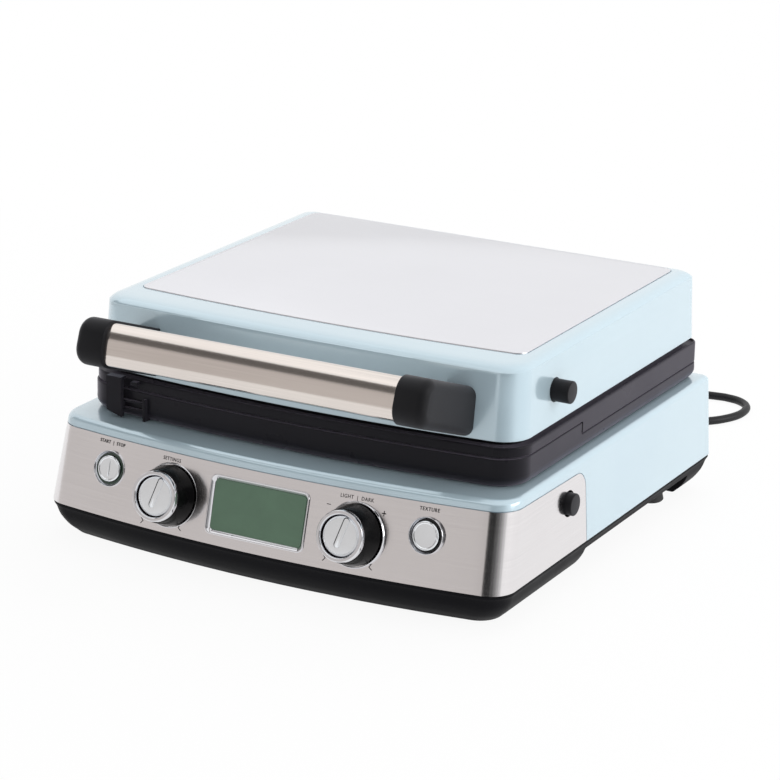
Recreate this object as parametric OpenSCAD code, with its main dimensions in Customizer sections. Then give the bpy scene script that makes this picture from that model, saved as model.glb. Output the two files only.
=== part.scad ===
// Countertop waffle maker with four square moulds. Millimetres, +Z up, front towards -Y.
// Every module is drawn about the middle of the base. placed() then puts the middle of
// the whole object's box over the origin, with the feet on z = 0.

/* [Base] */
// Width of the base along the lower edge of its front panel
base_w = 385; // [380:1:388]
// Depth of the base from its front corners to its rear wall
base_d = 362; // [358:1:366]
// How far the front bows out past its corners
front_bow = 16.2; // [12:0.1:18]
// Height of the deck that the trays stand on
deck_z = 92; // [91.5:0.1:92.5]
// Height of the lower edge of the front panel
panel_z0 = 27.7; // [26:0.1:29]
// Height of the upper edge of the front panel
panel_z1 = 84.6; // [83:0.1:86]
// Distance that the front panel leans back over its height
panel_lean_in = 15.4; // [14:0.2:20]

/* [Lid] */
// Height of the flat steel top
lid_top_z = 178; // [177:0.5:180]
// Height of the lower edge of the lid shell
lid_z0 = 124.3; // [124:0.1:125]

/* [Handle] */
// Distance between the two handle arms, which is the length of tube that shows
grip_w = 238; // [224:1:240]
// Height of the oval tube across its long side
tube_h = 31.5; // [28:0.5:31.5]
// Thickness of the oval tube across its short side
tube_t = 18; // [14:1:20]

/* [Controls] */
// Distance of each dial from the middle of the panel
dial_x = 77; // [72:0.5:80]
// Diameter of a dial at its face
dial_d = 37.4; // [34:0.2:40]
// Distance of the start button from the middle of the panel, on the left
start_x = 134.2; // [126:0.2:138]
// Distance of the texture button from the middle of the panel, on the right
texture_x = 130.6; // [126:0.2:138]
// Width of the display glass
lcd_w = 77; // [72:0.5:78]
// Height of the display glass
lcd_h = 38.6; // [34:0.1:39]

/* [Moulds] */
// Side of one waffle at the parting line
waffle = 118; // [112:1:118]
// Pegs along one side of a waffle
pegs = 6; // [4:1:7]
// Depth of one mould
mould_depth = 12; // [10:0.5:12]

/* [Mains lead] */
// Diameter of the lead
cord_d = 6.8; // [6:0.1:7]
// Middle radius of the outermost turn of the put-away coil
coil_r = 40; // [38:1:41]

/* [Hidden] */
$fn = 64;

blue = [0.66, 0.80, 0.85];
steel = [0.75, 0.73, 0.71];
chrome = [0.86, 0.86, 0.88];
black = [0.08, 0.08, 0.09];
charcoal = [0.16, 0.16, 0.18];
ceramic = [0.25, 0.26, 0.27];

// Where the middle of the object's box lies, front to back, from the middle of the base
box_y = -0.6;

// Points in each front edge and in each quarter corner of an outline
bow_n = 10;
corner_n = 5;

// Base
base_hx = base_w / 2;
base_front = -base_d / 2;
base_back = base_d / 2;
base_rf = 20;
base_rb = 5;
panel_lean = atan(panel_lean_in / (panel_z1 - panel_z0));
side_draft = 3.3 / 56.3;
skin = 2;
panel_t = 1.2;
panel_end_y = -48;
panel_corner_r = 13;
panel_fall = 2.2;
seam = 0.3;
pan_drop = 12;
pan_side = 1.3;
pan_wall = 2.5;
pan_z = 2.5;
arch_z = 19.5;
arch_y = [-47, -43, 142, 146];
front_foot_r = 11;
rear_foot_r = 11;
front_feet = [150, -135];
rear_feet = [165, 127];
pan_screw_y = [-110, 157];
board_z = 24;

// Trays, with the step of the parting line on the sides
tray_hx = 180.5;
tray_front = -141.5;
tray_back = 174;
tray_bow = 11;
tray_rf = 24;
tray_rb = 9;
tray_wall = 4.5;
split_front = 113.5;
split_rear = 104.7;
split_gap = 0.35;
split_y = -37;
ledge_z = 96;
reflector_z = 80;
heater_z = 86.6;
heater_r = 3.2;
upper_ledge_z = 119.5;
tray_top_z = 121.5;

// Moulds, mirrored about the parting plane
parting_z = 108;
plate_gap = 0.2;
plate_t = 3;
plate_hx = 165;
plate_hy = 144;
plate_y = 16;
rib_w = 12;
mould_draft = 3;
mould_wall = 3;
peg_h = 8.6;
lug_h = 11.2;
hooks_y = [-70, 102];

// Lid
lid_front = -135;
lid_back = 172;
lid_hx = 177.5;
lid_rf = 22;
lid_rb = 7;
lid_wall = 2.4;
lid_ceiling = 174;
hinge_y = 184;
hinge_z = 104;
hinge_x = 105;
hinge_screw_z = [136, 152];
pin_r = 4;
running = 0.05;

// Handle: the tube's middle, and the arms' tilt from level
tube_y = -198.6;
tube_z = 165.4;
arm_tilt = 20;
arm_w = 24;
arm_hh = 17.6;
arm_front = 13;
arm_r = 13;
arm_round = 7;
arm_len = 84;
socket = 7;
handle_screw_x = grip_w / 2 + arm_w / 2;
handle_screw_at = [[-136.6, 133], [-134, 149]];

// Controls
dial_v = 28;
button_v = 36;
lcd_x = -2.2;
lcd_v = 29.6;
lcd_glass_h = -1.9;
dial_out = 23.2;
shaft_r = 3;
button_xs = [-start_x, texture_x];

// Plate releases: the axis of the buttons, and how far they are pushed in
release_y = -76;
release_z = [65, 148.5];
release_face = [195.6, 190];
release_r = 8.3;
tail_r = 2.4;

// Mains lead: hand-placed points from the gland's tip round the bend behind the base
cord_r = cord_d / 2;
gland_x = 70;
gland_z = 36;
gland_tip = base_back + 34;
bend_c = [121.5, 359];
bend_r = 27;
coil_c = [38, 302];
layer_gap = 0.6;
tie_t = 1;
turn_gap = 0.8;
coil_turns = 2.25;
route = concat(
  [[gland_x, gland_tip, gland_z], [gland_x, 229, 35.2], [73, 244, 30.4], [80, 258, 22],
   [88.5, 271.5, 13], [98, 284.5, 6.6], [108, 296, 4], [118, 306, cord_r], [128, 315, cord_r],
   [137.5, 325, cord_r], [144.5, 337, cord_r], [148, 348, cord_r]],
  [for (a = [0:22.5:90]) [bend_c[0] + bend_r * cos(a), bend_c[1] + bend_r * sin(a), cord_r]],
  [[116.3, 386, cord_r], [102, 383.3, cord_r], [89.4, 375.6, cord_r], [80.6, 364, cord_r],
   [71.7, 352.4, cord_r], [59, 344.6, cord_r + 0.5],
   [coil_c[0] + cord_d, coil_c[1] + coil_r, cord_r + tie_t]]);

// Outlines and lofts ---------------------------------------------------------------

function arc_points(c, r, a0, a1, n) =
  [for (i = [0:n]) let (a = a0 + (a1 - a0) * i / n) [c[0] + r * cos(a), c[1] + r * sin(a)]];

// A rectangle with four round corners whose front edge bows out, anticlockwise from above
function outline(hx, front, back, bow, rf, rb) =
  let (
    tilt = atan(2 * bow * (hx - rf) / (hx * hx)),
    px = hx - rf * (1 - sin(tilt)),
    py = front - bow * (1 - pow(px / hx, 2)),
    right = concat(
      arc_points([hx - rf, py + rf * cos(tilt)], rf, tilt - 90, 0, corner_n),
      arc_points([hx - rb, back - rb], rb, 0, 90, corner_n)),
    left = [for (i = [len(right) - 1:-1:0]) [-right[i][0], right[i][1]]],
    edge = [for (i = [1:bow_n - 1]) let (x = px * (2 * i / bow_n - 1))
      [x, front - bow * (1 - pow(x / hx, 2))]])
  concat(edge, right, left);

function ring(z, points) = [for (p = points) [p[0], p[1], z]];

function round_ring(z, hx, hy, r) =
  ring(z, concat(
    arc_points([hx - r, r - hy], r, -90, 0, corner_n),
    arc_points([hx - r, hy - r], r, 0, 90, corner_n),
    arc_points([r - hx, hy - r], r, 90, 180, corner_n),
    arc_points([r - hx, r - hy], r, 180, 270, corner_n)));

// A closed skin through rings of equal count, lowest first
module loft(rings) {
  n = len(rings[0]);
  m = len(rings);
  sides = [for (k = [0:m - 2], i = [0:n - 1]) let (j = (i + 1) % n, a = k * n, b = a + n)
    each [[a + i, b + i, b + j], [a + i, b + j, a + j]]];
  floor_face = [for (i = [0:n - 1]) i];
  top_face = [for (i = [n - 1:-1:0]) (m - 1) * n + i];
  polyhedron(points = [for (r = rings) each r], faces = concat([floor_face, top_face], sides));
}

// The base's outline at a height, drawn in by an inset
function base_ring(z, inset = 0) =
  let (up = z - panel_z0)
  ring(z, outline(base_hx - side_draft * up - inset, base_front + tan(panel_lean) * up + inset,
    base_back - inset, front_bow, base_rf - inset / 2, base_rb - inset / 2));

function pan_ring(z, drop, inset = 0) =
  ring(z, outline(base_hx - pan_side * drop - inset, base_front + drop + inset, base_back - drop - inset,
    front_bow - drop / 8, base_rf - drop / 4 - inset / 2, base_rb + drop / 4 - inset / 2));

function tray_ring(z, inset = 0, setback = 0) =
  ring(z, outline(tray_hx - inset, tray_front + inset + setback, tray_back - inset, tray_bow,
    tray_rf - inset / 2, tray_rb - inset / 2));

function lid_ring(z, hx, front, back, bow, rf, rb, inset = 0) =
  ring(z, outline(hx - inset, front + inset, back - inset, bow, rf - inset / 2, rb - inset / 2));

// The lid's outside: a bowed foot that straightens towards the top, then a round shoulder
module lid_form() {
  loft([
    lid_ring(lid_z0, lid_hx, lid_front, lid_back, 11, lid_rf, lid_rb),
    lid_ring(146, lid_hx - 1.1, lid_front + 2.2, lid_back, 7.4, lid_rf - 1, lid_rb),
    lid_ring(170.2, lid_hx - 2, lid_front + 4, lid_back, 4, lid_rf - 2, lid_rb),
    lid_ring(173, lid_hx - 2.6, lid_front + 4.6, lid_back - 0.6, 4, lid_rf - 2.4, lid_rb),
    lid_ring(175, lid_hx - 4.4, lid_front + 6.4, lid_back - 1.8, 4, lid_rf - 3.4, lid_rb),
    lid_ring(176.5, lid_hx - 7.4, lid_front + 9.6, lid_back - 3.8, 4, lid_rf - 5.4, lid_rb),
    lid_ring(lid_top_z - 0.8, lid_hx - 12, lid_front + 15, lid_back - 6.2, 4, lid_rf - 9, lid_rb)]);
}

// A block or a hollow with four sloping sides
module frustum(half0, half1, h) {
  loft([
    ring(0, [[-half0, -half0], [half0, -half0], [half0, half0], [-half0, half0]]),
    ring(h, [[-half1, -half1], [half1, -half1], [half1, half1], [-half1, half1]])]);
}

module rounded_plate(hx, hy, r, t) {
  linear_extrude(t) {
    square([2 * hx, 2 * (hy - r)], center = true);
    square([2 * (hx - r), 2 * hy], center = true);
    for (sx = [-1, 1], sy = [-1, 1]) translate([sx * (hx - r), sy * (hy - r)]) circle(r);
  }
}

// A profile drawn front to back and upwards, carried across the width from x0 to x1
module across(x0, x1) {
  translate([x0, 0, 0]) rotate([90, 0, 90]) linear_extrude(x1 - x0) children();
}

// A round bar from x0 to x1 at a height and depth
module bar_x(x0, x1, y, z, r) {
  translate([x0, y, z]) rotate([0, 90, 0]) cylinder(h = x1 - x0, r = r);
}

module revolved(points) {
  rotate_extrude() polygon(points);
}

// Puts a control on the bowed, leaning panel at a height up its slope. All of them point the same way.
module on_panel(x, v) {
  z = panel_z0 + v * cos(panel_lean);
  y = base_front + v * sin(panel_lean) - front_bow * (1 - pow(x / base_hx, 2));
  translate([x, y, z]) rotate([90 - panel_lean, 0, 0]) children();
}

module placed() {
  translate([0, box_y, 0]) children();
}

// Base -----------------------------------------------------------------------------

module arch_profile(grow = 0) {
  polygon([
    [arch_y[0] - grow, pan_z - 5], [arch_y[1] - grow, arch_z + grow],
    [arch_y[2] + grow, arch_z + grow], [arch_y[3] + grow, pan_z - 5]]);
}

module base_pan() {
  color(black) difference() {
    loft([
      pan_ring(pan_z, pan_drop), pan_ring(4.5, 10.4), pan_ring(9, 6.7), pan_ring(16, 3.2),
      pan_ring(23, 1.4), pan_ring(25.5, 0.4), pan_ring(panel_z0, 0.4)]);
    across(-base_w, base_w) arch_profile();
    difference() {
      loft([
        pan_ring(pan_z + pan_wall, 10, 3), pan_ring(9, 6.7, 3), pan_ring(16, 3.2, 3),
        pan_ring(23, 1.4, 3), pan_ring(panel_z0 + 1, 0.4, 3)]);
      across(-base_w, base_w) arch_profile(pan_wall);
      // Posts under the power board and sockets for the housing's screws
      for (x = [-104, 34], y = [-14, 70]) translate([x, y, arch_z]) cylinder(h = board_z - arch_z, r = 4);
      for (x = [-120, 0, 120], y = pan_screw_y) translate([x, y, pan_z]) cylinder(h = 8, r = 5);
    }
    for (x = [-120, 0, 120], y = pan_screw_y) translate([x, y, 0]) {
      cylinder(h = 20, r = 1.9);
      translate([0, 0, pan_z - 1]) cylinder(h = 3, r = 4.2);
    }
  }
}

module rubber_feet() {
  color(black) for (s = [-1, 1]) {
    translate([s * front_feet[0], front_feet[1], 0])
      revolved([[0, 0], [front_foot_r - 1, 0], [front_foot_r, 1], [front_foot_r - 0.6, pan_z], [0, pan_z]]);
    translate([s * rear_feet[0], rear_feet[1], 0]) revolved([
      [0, 0], [rear_foot_r - 1, 0], [rear_foot_r, 1.2], [rear_foot_r - 1.4, 8],
      [rear_foot_r - 1.8, arch_z], [0, arch_z]]);
  }
}

module pan_screws() {
  color(steel) for (x = [-120, 0, 120], y = pan_screw_y) translate([x, y, pan_z]) difference() {
    union() {
      translate([0, 0, 0.2]) cylinder(h = 1.8, r = 3.9);
      translate([0, 0, 2]) cylinder(h = 16, r = 1.9);
    }
    for (a = [0, 90]) rotate([0, 0, a]) translate([-2, -0.4, -1]) cube([4, 0.8, 2]);
  }
}

// The part of the base that the steel panel covers, seen from the side. Its upper edge
// falls a little towards the rear.
module panel_profile(grow = 0) {
  r = panel_corner_r + grow;
  y = panel_end_y + grow;
  z = panel_z1 + grow;
  polygon(concat(
    [[-260, panel_z0 - 1], [y, panel_z0 - 1]],
    arc_points([y - r, z - r - panel_fall], r, 0, 90, 8),
    [[base_front, z], [-260, z]]));
}

module base_skin(inset) {
  loft([
    base_ring(panel_z0, inset), base_ring(88, inset), base_ring(90.9, inset + 1.2),
    base_ring(deck_z, inset + 4)]);
}

// What lies behind the steel panel
module panel_core() {
  loft([base_ring(panel_z0 - 3, panel_t), base_ring(panel_z1 + 3, panel_t)]);
}

module release_bore(z, r) {
  bar_x(150, 210, release_y, z, r);
}

module base_housing() {
  color(blue) difference() {
    base_skin(0);
    loft([base_ring(panel_z0 - 1, skin), base_ring(87, skin), base_ring(deck_z - skin, skin + 4)]);
    // The panel lies in a shallow recess, flush with the paint
    difference() {
      across(-base_w, base_w) panel_profile(seam);
      panel_core();
    }
    // The opening behind the panel, the deck opening and the button hole
    translate([-160, -230, panel_z0 + 6]) cube([320, 90, 44]);
    translate([0, plate_y, deck_z - 6]) rounded_plate(158, 134, 14, 12);
    release_bore(release_z[0], 10.5);
    translate([gland_x, base_back - 8, gland_z]) rotate([-90, 0, 0]) cylinder(h = 16, r = 7);
  }
}

module lcd_cut(grow, depth) {
  translate([0, 0, -depth / 2]) rounded_plate(lcd_w / 2 + grow, lcd_h / 2 + grow, 3, depth);
}

module control_panel() {
  color(steel) difference() {
    intersection() {
      across(-base_w, base_w) panel_profile();
      difference() {
        loft([base_ring(panel_z0 + 0.1, 0), base_ring(panel_z1 + 2, 0)]);
        panel_core();
      }
    }
    on_panel(lcd_x, lcd_v) lcd_cut(2, 12);
    for (s = [-1, 1]) on_panel(s * dial_x, dial_v) cylinder(h = 20, r = 6, center = true);
    for (x = button_xs) on_panel(x, button_v) cylinder(h = 20, r = 12.7, center = true);
    release_bore(release_z[0], 9.8);
  }
}

// A thin rim on the panel and walls that slope in to the sunken glass
module lcd_bezel() {
  hx = lcd_w / 2;
  hy = lcd_h / 2;
  color(chrome) difference() {
    union() {
      seated() on_panel(lcd_x, lcd_v) translate([0, 0, -1]) rounded_plate(hx + 2.6, hy + 2.6, 5, 1.45);
      on_panel(lcd_x, lcd_v) translate([0, 0, -5]) rounded_plate(hx + 1.9, hy + 1.9, 4.4, 5);
    }
    on_panel(lcd_x, lcd_v) {
      lcd_cut(-0.6, 12);
      loft([round_ring(lcd_glass_h, hx - 0.6, hy - 0.6, 3), round_ring(1, hx + 2.1, hy + 2.1, 4.6)]);
    }
  }
}

module lcd_glass() {
  color([0.33, 0.42, 0.36]) on_panel(lcd_x, lcd_v) translate([0, 0, lcd_glass_h - 1.2])
    rounded_plate(lcd_w / 2 - 0.6, lcd_h / 2 - 0.6, 3, 1.2);
}

module lcd_module() {
  color("white") on_panel(lcd_x, lcd_v) {
    translate([0, 0, -8]) rounded_plate(lcd_w / 2 - 1, lcd_h / 2 - 1, 2, 6.8 + lcd_glass_h);
    translate([0, 0, -9.6]) rounded_plate(lcd_w / 2 + 5, lcd_h / 2 + 2, 2, 1.6);
  }
}

// What the panel's bow leaves of a ring that is seated on it
module seated() {
  difference() {
    children();
    loft([base_ring(panel_z0 - 1), base_ring(panel_z1 + 3)]);
  }
}

module dial_collars() {
  color(chrome) seated() for (s = [-1, 1]) on_panel(s * dial_x, dial_v)
    revolved([[22.8, -4], [24.7, -4], [24.7, 1.2], [24.3, 1.8], [23.6, 1.8], [22.8, 1.1]]);
}

module dial_encoders() {
  color(steel) for (s = [-1, 1]) on_panel(s * dial_x, dial_v) difference() {
    union() {
      translate([-7, -7, -11]) cube([14, 14, 7]);
      translate([0, 0, -4]) cylinder(h = 7, r = 4.5);
    }
    translate([0, 0, -7]) cylinder(h = 12, r = shaft_r + running);
  }
}

module button_rings() {
  color(chrome) {
    for (x = button_xs) on_panel(x, button_v)
      revolved([[11.6, -4], [12.5, -4], [12.5, 1.3], [11.6, 0.2]]);
    seated() for (x = button_xs) on_panel(x, button_v)
      revolved([[12.5, -3], [13.5, -3], [13.5, 1.6], [13.3, 1.9], [13, 1.9], [12.5, 1.3]]);
  }
}

module start_lens() {
  color([0.05, 0.14, 0.10]) on_panel(-start_x, button_v)
    revolved([[10, -4], [11.6, -4], [11.6, 0.2], [10, 0.2]]);
}

module texture_gasket() {
  color(black) on_panel(texture_x, button_v) revolved([[10.8, -4], [11.6, -4], [11.6, 0.2], [10.8, 0.2]]);
}

module button_switches() {
  color(charcoal) for (x = button_xs) on_panel(x, button_v) {
    translate([-6, -6, -13]) cube([12, 12, 4]);
    translate([0, 0, -9]) cylinder(h = 0.6, r = 3);
  }
}

module control_boards() {
  color([0.10, 0.30, 0.16]) {
    on_panel(lcd_x, lcd_v) translate([-48, -21, -12]) cube([96, 42, 1.6]);
    for (s = [-1, 1]) on_panel(s * dial_x, dial_v) translate([-12, -20, -12.6]) cube([24, 40, 1.6]);
    for (x = button_xs) on_panel(x, button_v) translate([-14, -18, -14.6]) cube([28, 36, 1.6]);
  }
}

module power_board() {
  color([0.10, 0.30, 0.16]) translate([-110, -20, 0]) {
    difference() {
      translate([0, 0, board_z]) cube([150, 96, 1.6]);
      for (x = [6, 144], y = [6, 90]) translate([x, y, board_z - 1]) cylinder(h = 4, r = 1.6);
    }
    for (x = [20, 50]) translate([x, 14, board_z + 1]) cube([24, 18, 17]);
    translate([86, 20, board_z + 1]) cube([44, 36, 31]);
    translate([100, 74, board_z + 1]) cylinder(h = 27, r = 9);
    translate([24, 62, board_z + 1]) rounded_plate(10, 6, 2, 15);
  }
}

module heat_shield() {
  color(steel) translate([0, plate_y, 71]) difference() {
    rounded_plate(122, 122, 10, 6);
    translate([0, 0, -1]) rounded_plate(121.2, 121.2, 9.2, 6.2);
    for (x = [-90:30:90]) translate([x - 2, -80, 0]) cube([4, 40, 10]);
    feedthroughs();
  }
}

// Trays and moulds -------------------------------------------------------------------

module lower_tray() {
  color(charcoal) difference() {
    union() {
      difference() {
        loft([tray_ring(deck_z, 4.5), tray_ring(98, 0), tray_ring(split_front - split_gap, 0)]);
        loft([tray_ring(ledge_z, tray_wall), tray_ring(split_front + 1, tray_wall)]);
      }
      for (x = [-155, 155], y = [-118, 16, 150]) translate([x, y, ledge_z])
        cylinder(h = parting_z - plate_gap - plate_t - ledge_z, r = 5);
    }
    // Behind the step the rim is lower
    translate([-200, split_y - split_gap, split_rear - split_gap]) cube([400, 260, 40]);
    translate([0, plate_y, deck_z - 1]) rounded_plate(134, 134, 10, 10);
    translate([142, release_y - 9, deck_z - 1]) cube([18, 18, 10]);
  }
  // The rails and end stop of the storage lock
  color(charcoal) lock_rails();
}

// A stamped dish with a flat rim, open upwards
module dish(floor_z, rim_z) {
  difference() {
    union() {
      translate([0, plate_y, floor_z]) rounded_plate(131.5, 131.5, 10, rim_z - floor_z);
      translate([0, plate_y, rim_z - 1]) rounded_plate(139, 139, 12, 1);
    }
    translate([0, plate_y, floor_z + 1]) rounded_plate(130.5, 130.5, 9, rim_z - floor_z + 1);
  }
}

// Where the heater's ends and the thermostat pass through a sheet
module feedthroughs() {
  for (s = [-1, 1]) translate([s * 100, 60, -2]) cylinder(h = 12, r = 5);
  translate([0, 0, -2]) cylinder(h = 12, r = 9);
}

module lower_reflector() {
  color(steel) difference() {
    dish(reflector_z, ledge_z + 1);
    translate([0, plate_y, reflector_z]) feedthroughs();
  }
}

// Two long hairpins joined across the middle
module heater_path() {
  for (s = [-1, 1]) {
    translate([s * 60, -60, 0]) rotate([0, 0, 180])
      rotate_extrude(angle = 180) translate([40, 0]) circle(heater_r);
    for (x = [20, 100]) translate([s * x, -60, 0]) rotate([-90, 0, 0]) cylinder(h = 120, r = heater_r);
  }
  translate([0, 60, 0]) rotate_extrude(angle = 180) translate([20, 0]) circle(heater_r);
}

module lower_heater() {
  color(charcoal) translate([0, plate_y, heater_z]) {
    heater_path();
    for (s = [-1, 1]) translate([s * 100, 60, -12]) cylinder(h = 12, r = heater_r);
  }
}

module upper_heater() {
  color(charcoal) translate([0, plate_y, 2 * parting_z - heater_z]) {
    heater_path();
    for (s = [-1, 1]) translate([s * 100, 60, 0]) cylinder(h = 12, r = heater_r);
  }
}

// A spring-loaded thermostat probe that reaches up between the moulds
module sensor() {
  revolved([[0, -4], [3, -4], [3, 0], [7, 0], [7, 9], [5, 11], [2.4, 11], [2.4, 24.4], [0, 24.4]]);
}

module lower_sensor() {
  color(steel) translate([0, plate_y, reflector_z]) sensor();
}

module upper_sensor() {
  color(steel) translate([0, plate_y, 2 * parting_z - reflector_z]) mirror([0, 0, 1]) sensor();
}

// The pegs of one mould: a block cut crosswise by tapering grooves
module peg_block() {
  half = waffle / 2 - mould_draft - 0.6;
  pitch = 2 * half / pegs;
  difference() {
    frustum(half, half - 1.6, peg_h);
    for (a = [0, 90], i = [1:pegs - 1]) rotate([0, 0, a]) translate([0, -half + i * pitch, 0])
      rotate([90, 0, 90]) linear_extrude(waffle, center = true)
        polygon([[-2.3, 0], [2.3, 0], [4.5, peg_h + 1], [-4.5, peg_h + 1]]);
  }
}

// One plate: a flange with four drafted moulds under it and their pegs
module waffle_plate() {
  pitch = waffle + rib_w;
  floor_z = -mould_depth - mould_wall;
  difference() {
    union() {
      translate([0, 0, -plate_t]) rounded_plate(plate_hx, plate_hy, 14, plate_t);
      for (sx = [-1, 1], sy = [-1, 1]) translate([sx * pitch / 2, sy * pitch / 2, floor_z])
        frustum(waffle / 2, waffle / 2 + 2.9, mould_depth + mould_wall - plate_t + 0.5);
    }
    for (sx = [-1, 1], sy = [-1, 1]) translate([sx * pitch / 2, sy * pitch / 2, -mould_depth])
      frustum(waffle / 2 - mould_draft, waffle / 2 + 0.3, mould_depth + 1);
    // The channel that catches spilt batter
    translate([0, 0, -1.4]) difference() {
      rounded_plate(plate_hx - 10, plate_hy - 6, 12, 3);
      translate([0, 0, -1]) rounded_plate(plate_hx - 20, plate_hy - 11, 9, 5);
    }
  }
  for (sx = [-1, 1], sy = [-1, 1]) translate([sx * pitch / 2, sy * pitch / 2, -mould_depth]) peg_block();
  // The lug on the right that the release holds, and the two that hook in on the left
  translate([0, release_y - plate_y, 0]) plate_lug(154);
  for (y = hooks_y) translate([0, y - plate_y, 0]) plate_lug(-163.4);
}

// A lug that hangs from the flange with its toe turned towards -X
module plate_lug(x) {
  translate([x + 3, -6, -lug_h]) cube([3.4, 12, lug_h - plate_t]);
  translate([x, -6, -lug_h]) cube([3, 12, 2]);
}

module lower_waffle_plate() {
  color(ceramic) translate([0, plate_y, parting_z - plate_gap]) waffle_plate();
}

module upper_waffle_plate() {
  color(ceramic) translate([0, plate_y, parting_z + plate_gap]) mirror([0, 0, 1]) waffle_plate();
}

// Fixed hooks whose lips stand over the toes at the left of a plate
module plate_hooks(floor_z) {
  lip_z = parting_z - plate_gap - lug_h + 2.3;
  for (y = hooks_y) translate([0, y, 0]) {
    translate([-172, -7, floor_z]) cube([8, 14, 1.2]);
    translate([-166, -7, floor_z]) cube([2, 14, lip_z + 1.8 - floor_z]);
    translate([-164, -7, lip_z]) cube([3.6, 14, 1.8]);
  }
}

module lower_plate_hooks() {
  color(steel) plate_hooks(ledge_z);
}

module upper_plate_hooks() {
  color(steel) translate([0, 0, 2 * parting_z]) mirror([0, 0, 1]) plate_hooks(2 * parting_z - upper_ledge_z);
}

// Plate releases -----------------------------------------------------------------------

// Drawn with the button's axis on the X axis; up is towards the plate
module release_slider(face, wall, lip_z) {
  bar_x(wall - 1.8, face - 0.8, 0, 0, release_r);
  bar_x(face - 0.8, face, 0, 0, release_r - 0.8);
  bar_x(wall - 2.2, wall - 0.4, 0, 0, 12);
  bar_x(154, wall - 1.8, 0, 0, 4);
  translate([150.4, -5.5, -5.5]) cube([3.6, 11, lip_z + 5.5]);
  translate([154, -5.5, lip_z - 1.8]) cube([2.6, 11, 1.8]);
  bar_x(119, 150.4, 0, 0, tail_r);
}

lip_up = parting_z - plate_gap - lug_h + 4.1 - release_z[0];
lip_down = release_z[1] - 2 * parting_z + release_z[0] + lip_up;

module lower_release_button() {
  color(black) translate([0, release_y, release_z[0]]) release_slider(release_face[0], 184.6, lip_up);
}

module upper_release_button() {
  color(black) translate([0, release_y, release_z[1]]) mirror([0, 0, 1])
    release_slider(release_face[1], 172.6, lip_down);
}

// A bracket that guides the slider's tail and seats its spring
module release_guide(foot) {
  difference() {
    translate([124, -9, -9]) cube([3, 18, 9 + foot]);
    bar_x(120, 130, 0, 0, tail_r + running);
  }
  translate([112, -9, foot - 1.5]) cube([12.5, 18, 1.5]);
}

module lower_release_guide() {
  color(steel) translate([0, release_y, release_z[0]]) mirror([0, 0, 1])
    release_guide(release_z[0] - pan_z - pan_wall);
}

module upper_release_guide() {
  color(steel) translate([0, release_y, release_z[1]]) release_guide(lid_ceiling - release_z[1]);
}

// A round wire swept along points, with the given sides and the directions of its two ends
module swept(points, r, sides, first = undef, final = undef) {
  last = len(points) - 1;
  frames = [for (i = [0:last]) let (
    along = unit(points[min(i + 1, last)] - points[max(i - 1, 0)]),
    t = i == 0 && first != undef ? first : i == last && final != undef ? final : along,
    side = unit(cross(t, abs(t[2]) > 0.9 ? [0, 1, 0] : [0, 0, 1])))
    [side, cross(side, t)]];
  rings = [for (i = [0:last]) [for (k = [0:sides - 1]) let (a = 360 * (k + 0.5) / sides)
    points[i] + r * (cos(a) * frames[i][0] + sin(a) * frames[i][1])]];
  n = sides;
  tube_sides = [for (i = [0:last - 1], k = [0:n - 1]) let (a = i * n + k, b = i * n + (k + 1) % n)
    each [[a, b, b + n], [a, b + n, a + n]]];
  start_face = [for (k = [n - 1:-1:0]) k];
  end_face = [for (k = [0:n - 1]) last * n + k];
  polyhedron(points = [for (r = rings) each r], faces = concat([start_face, end_face], tube_sides));
}

function unit(v) = v / norm(v);

// Compression spring round the slider's tail, relaxed when the button stands out
module release_spring() {
  turns = 5;
  wire = 0.6;
  coil = 3.9;
  length = 22;
  swept([for (i = [0:turns * 12]) let (a = i * 30)
    [127.7 + length * i / (turns * 12), coil * cos(a), coil * sin(a)]], wire / 2, 6);
}

module lower_release_spring() {
  color(steel) translate([0, release_y, release_z[0]]) release_spring();
}

module upper_release_spring() {
  color(steel) translate([0, release_y, release_z[1]]) release_spring();
}

// Storage lock ---------------------------------------------------------------------------

lock_x = -148.5;
lock_front = -153;
lock_back = -149.6;

module lock_rails() {
  for (z = [98.5, 104.5]) translate([lock_x - 3.5, lock_back, z]) cube([29.5, 7.1, 1.6]);
  translate([-124.8, -151, deck_z]) cube([2.4, 8.5, 17]);
}

module lid_lock() {
  color(charcoal) {
    translate([lock_x, lock_back, 0]) rotate([90, 0, 0]) linear_extrude(lock_back - lock_front)
      polygon([[-6.5, 97.4], [6.5, 93.2], [6.5, 124], [-6.5, 124]]);
    translate([lock_x - 6.5, lock_back - 0.4, 121.6]) cube([13, 3.4, 2.4]);
    // The runner between the two rails
    translate([lock_x + 1, lock_back - 0.4, 100.6]) cube([5.5, 2.8, 3.4]);
  }
}

// Hinge -----------------------------------------------------------------------------------

module hinge_profile(r, y0, z0, z1) {
  translate([hinge_y, hinge_z]) circle(r);
  polygon([[y0, z0], [hinge_y + r, z1], [hinge_y + r, hinge_z], [y0, hinge_z]]);
}

module hinge_towers() {
  color(charcoal) for (s = [-1, 1]) translate([s * hinge_x, 0, 0]) difference() {
    union() {
      for (x = [-15, 8.5]) across(x, x + 6.5) hinge_profile(9, base_back, 60, 70);
      across(-15, 15) polygon([[base_back, 60], [hinge_y + 9, 70], [hinge_y + 9, 88], [base_back, 88]]);
    }
    bar_x(-20, 20, hinge_y, hinge_z, pin_r);
  }
}

module hinge_pins() {
  color(chrome) for (s = [-1, 1]) translate([s * hinge_x, 0, 0]) {
    bar_x(-15, 15, hinge_y, hinge_z, pin_r);
    for (x = [-17, 15]) bar_x(x, x + 2, hinge_y, hinge_z, pin_r + 2);
  }
}

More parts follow.
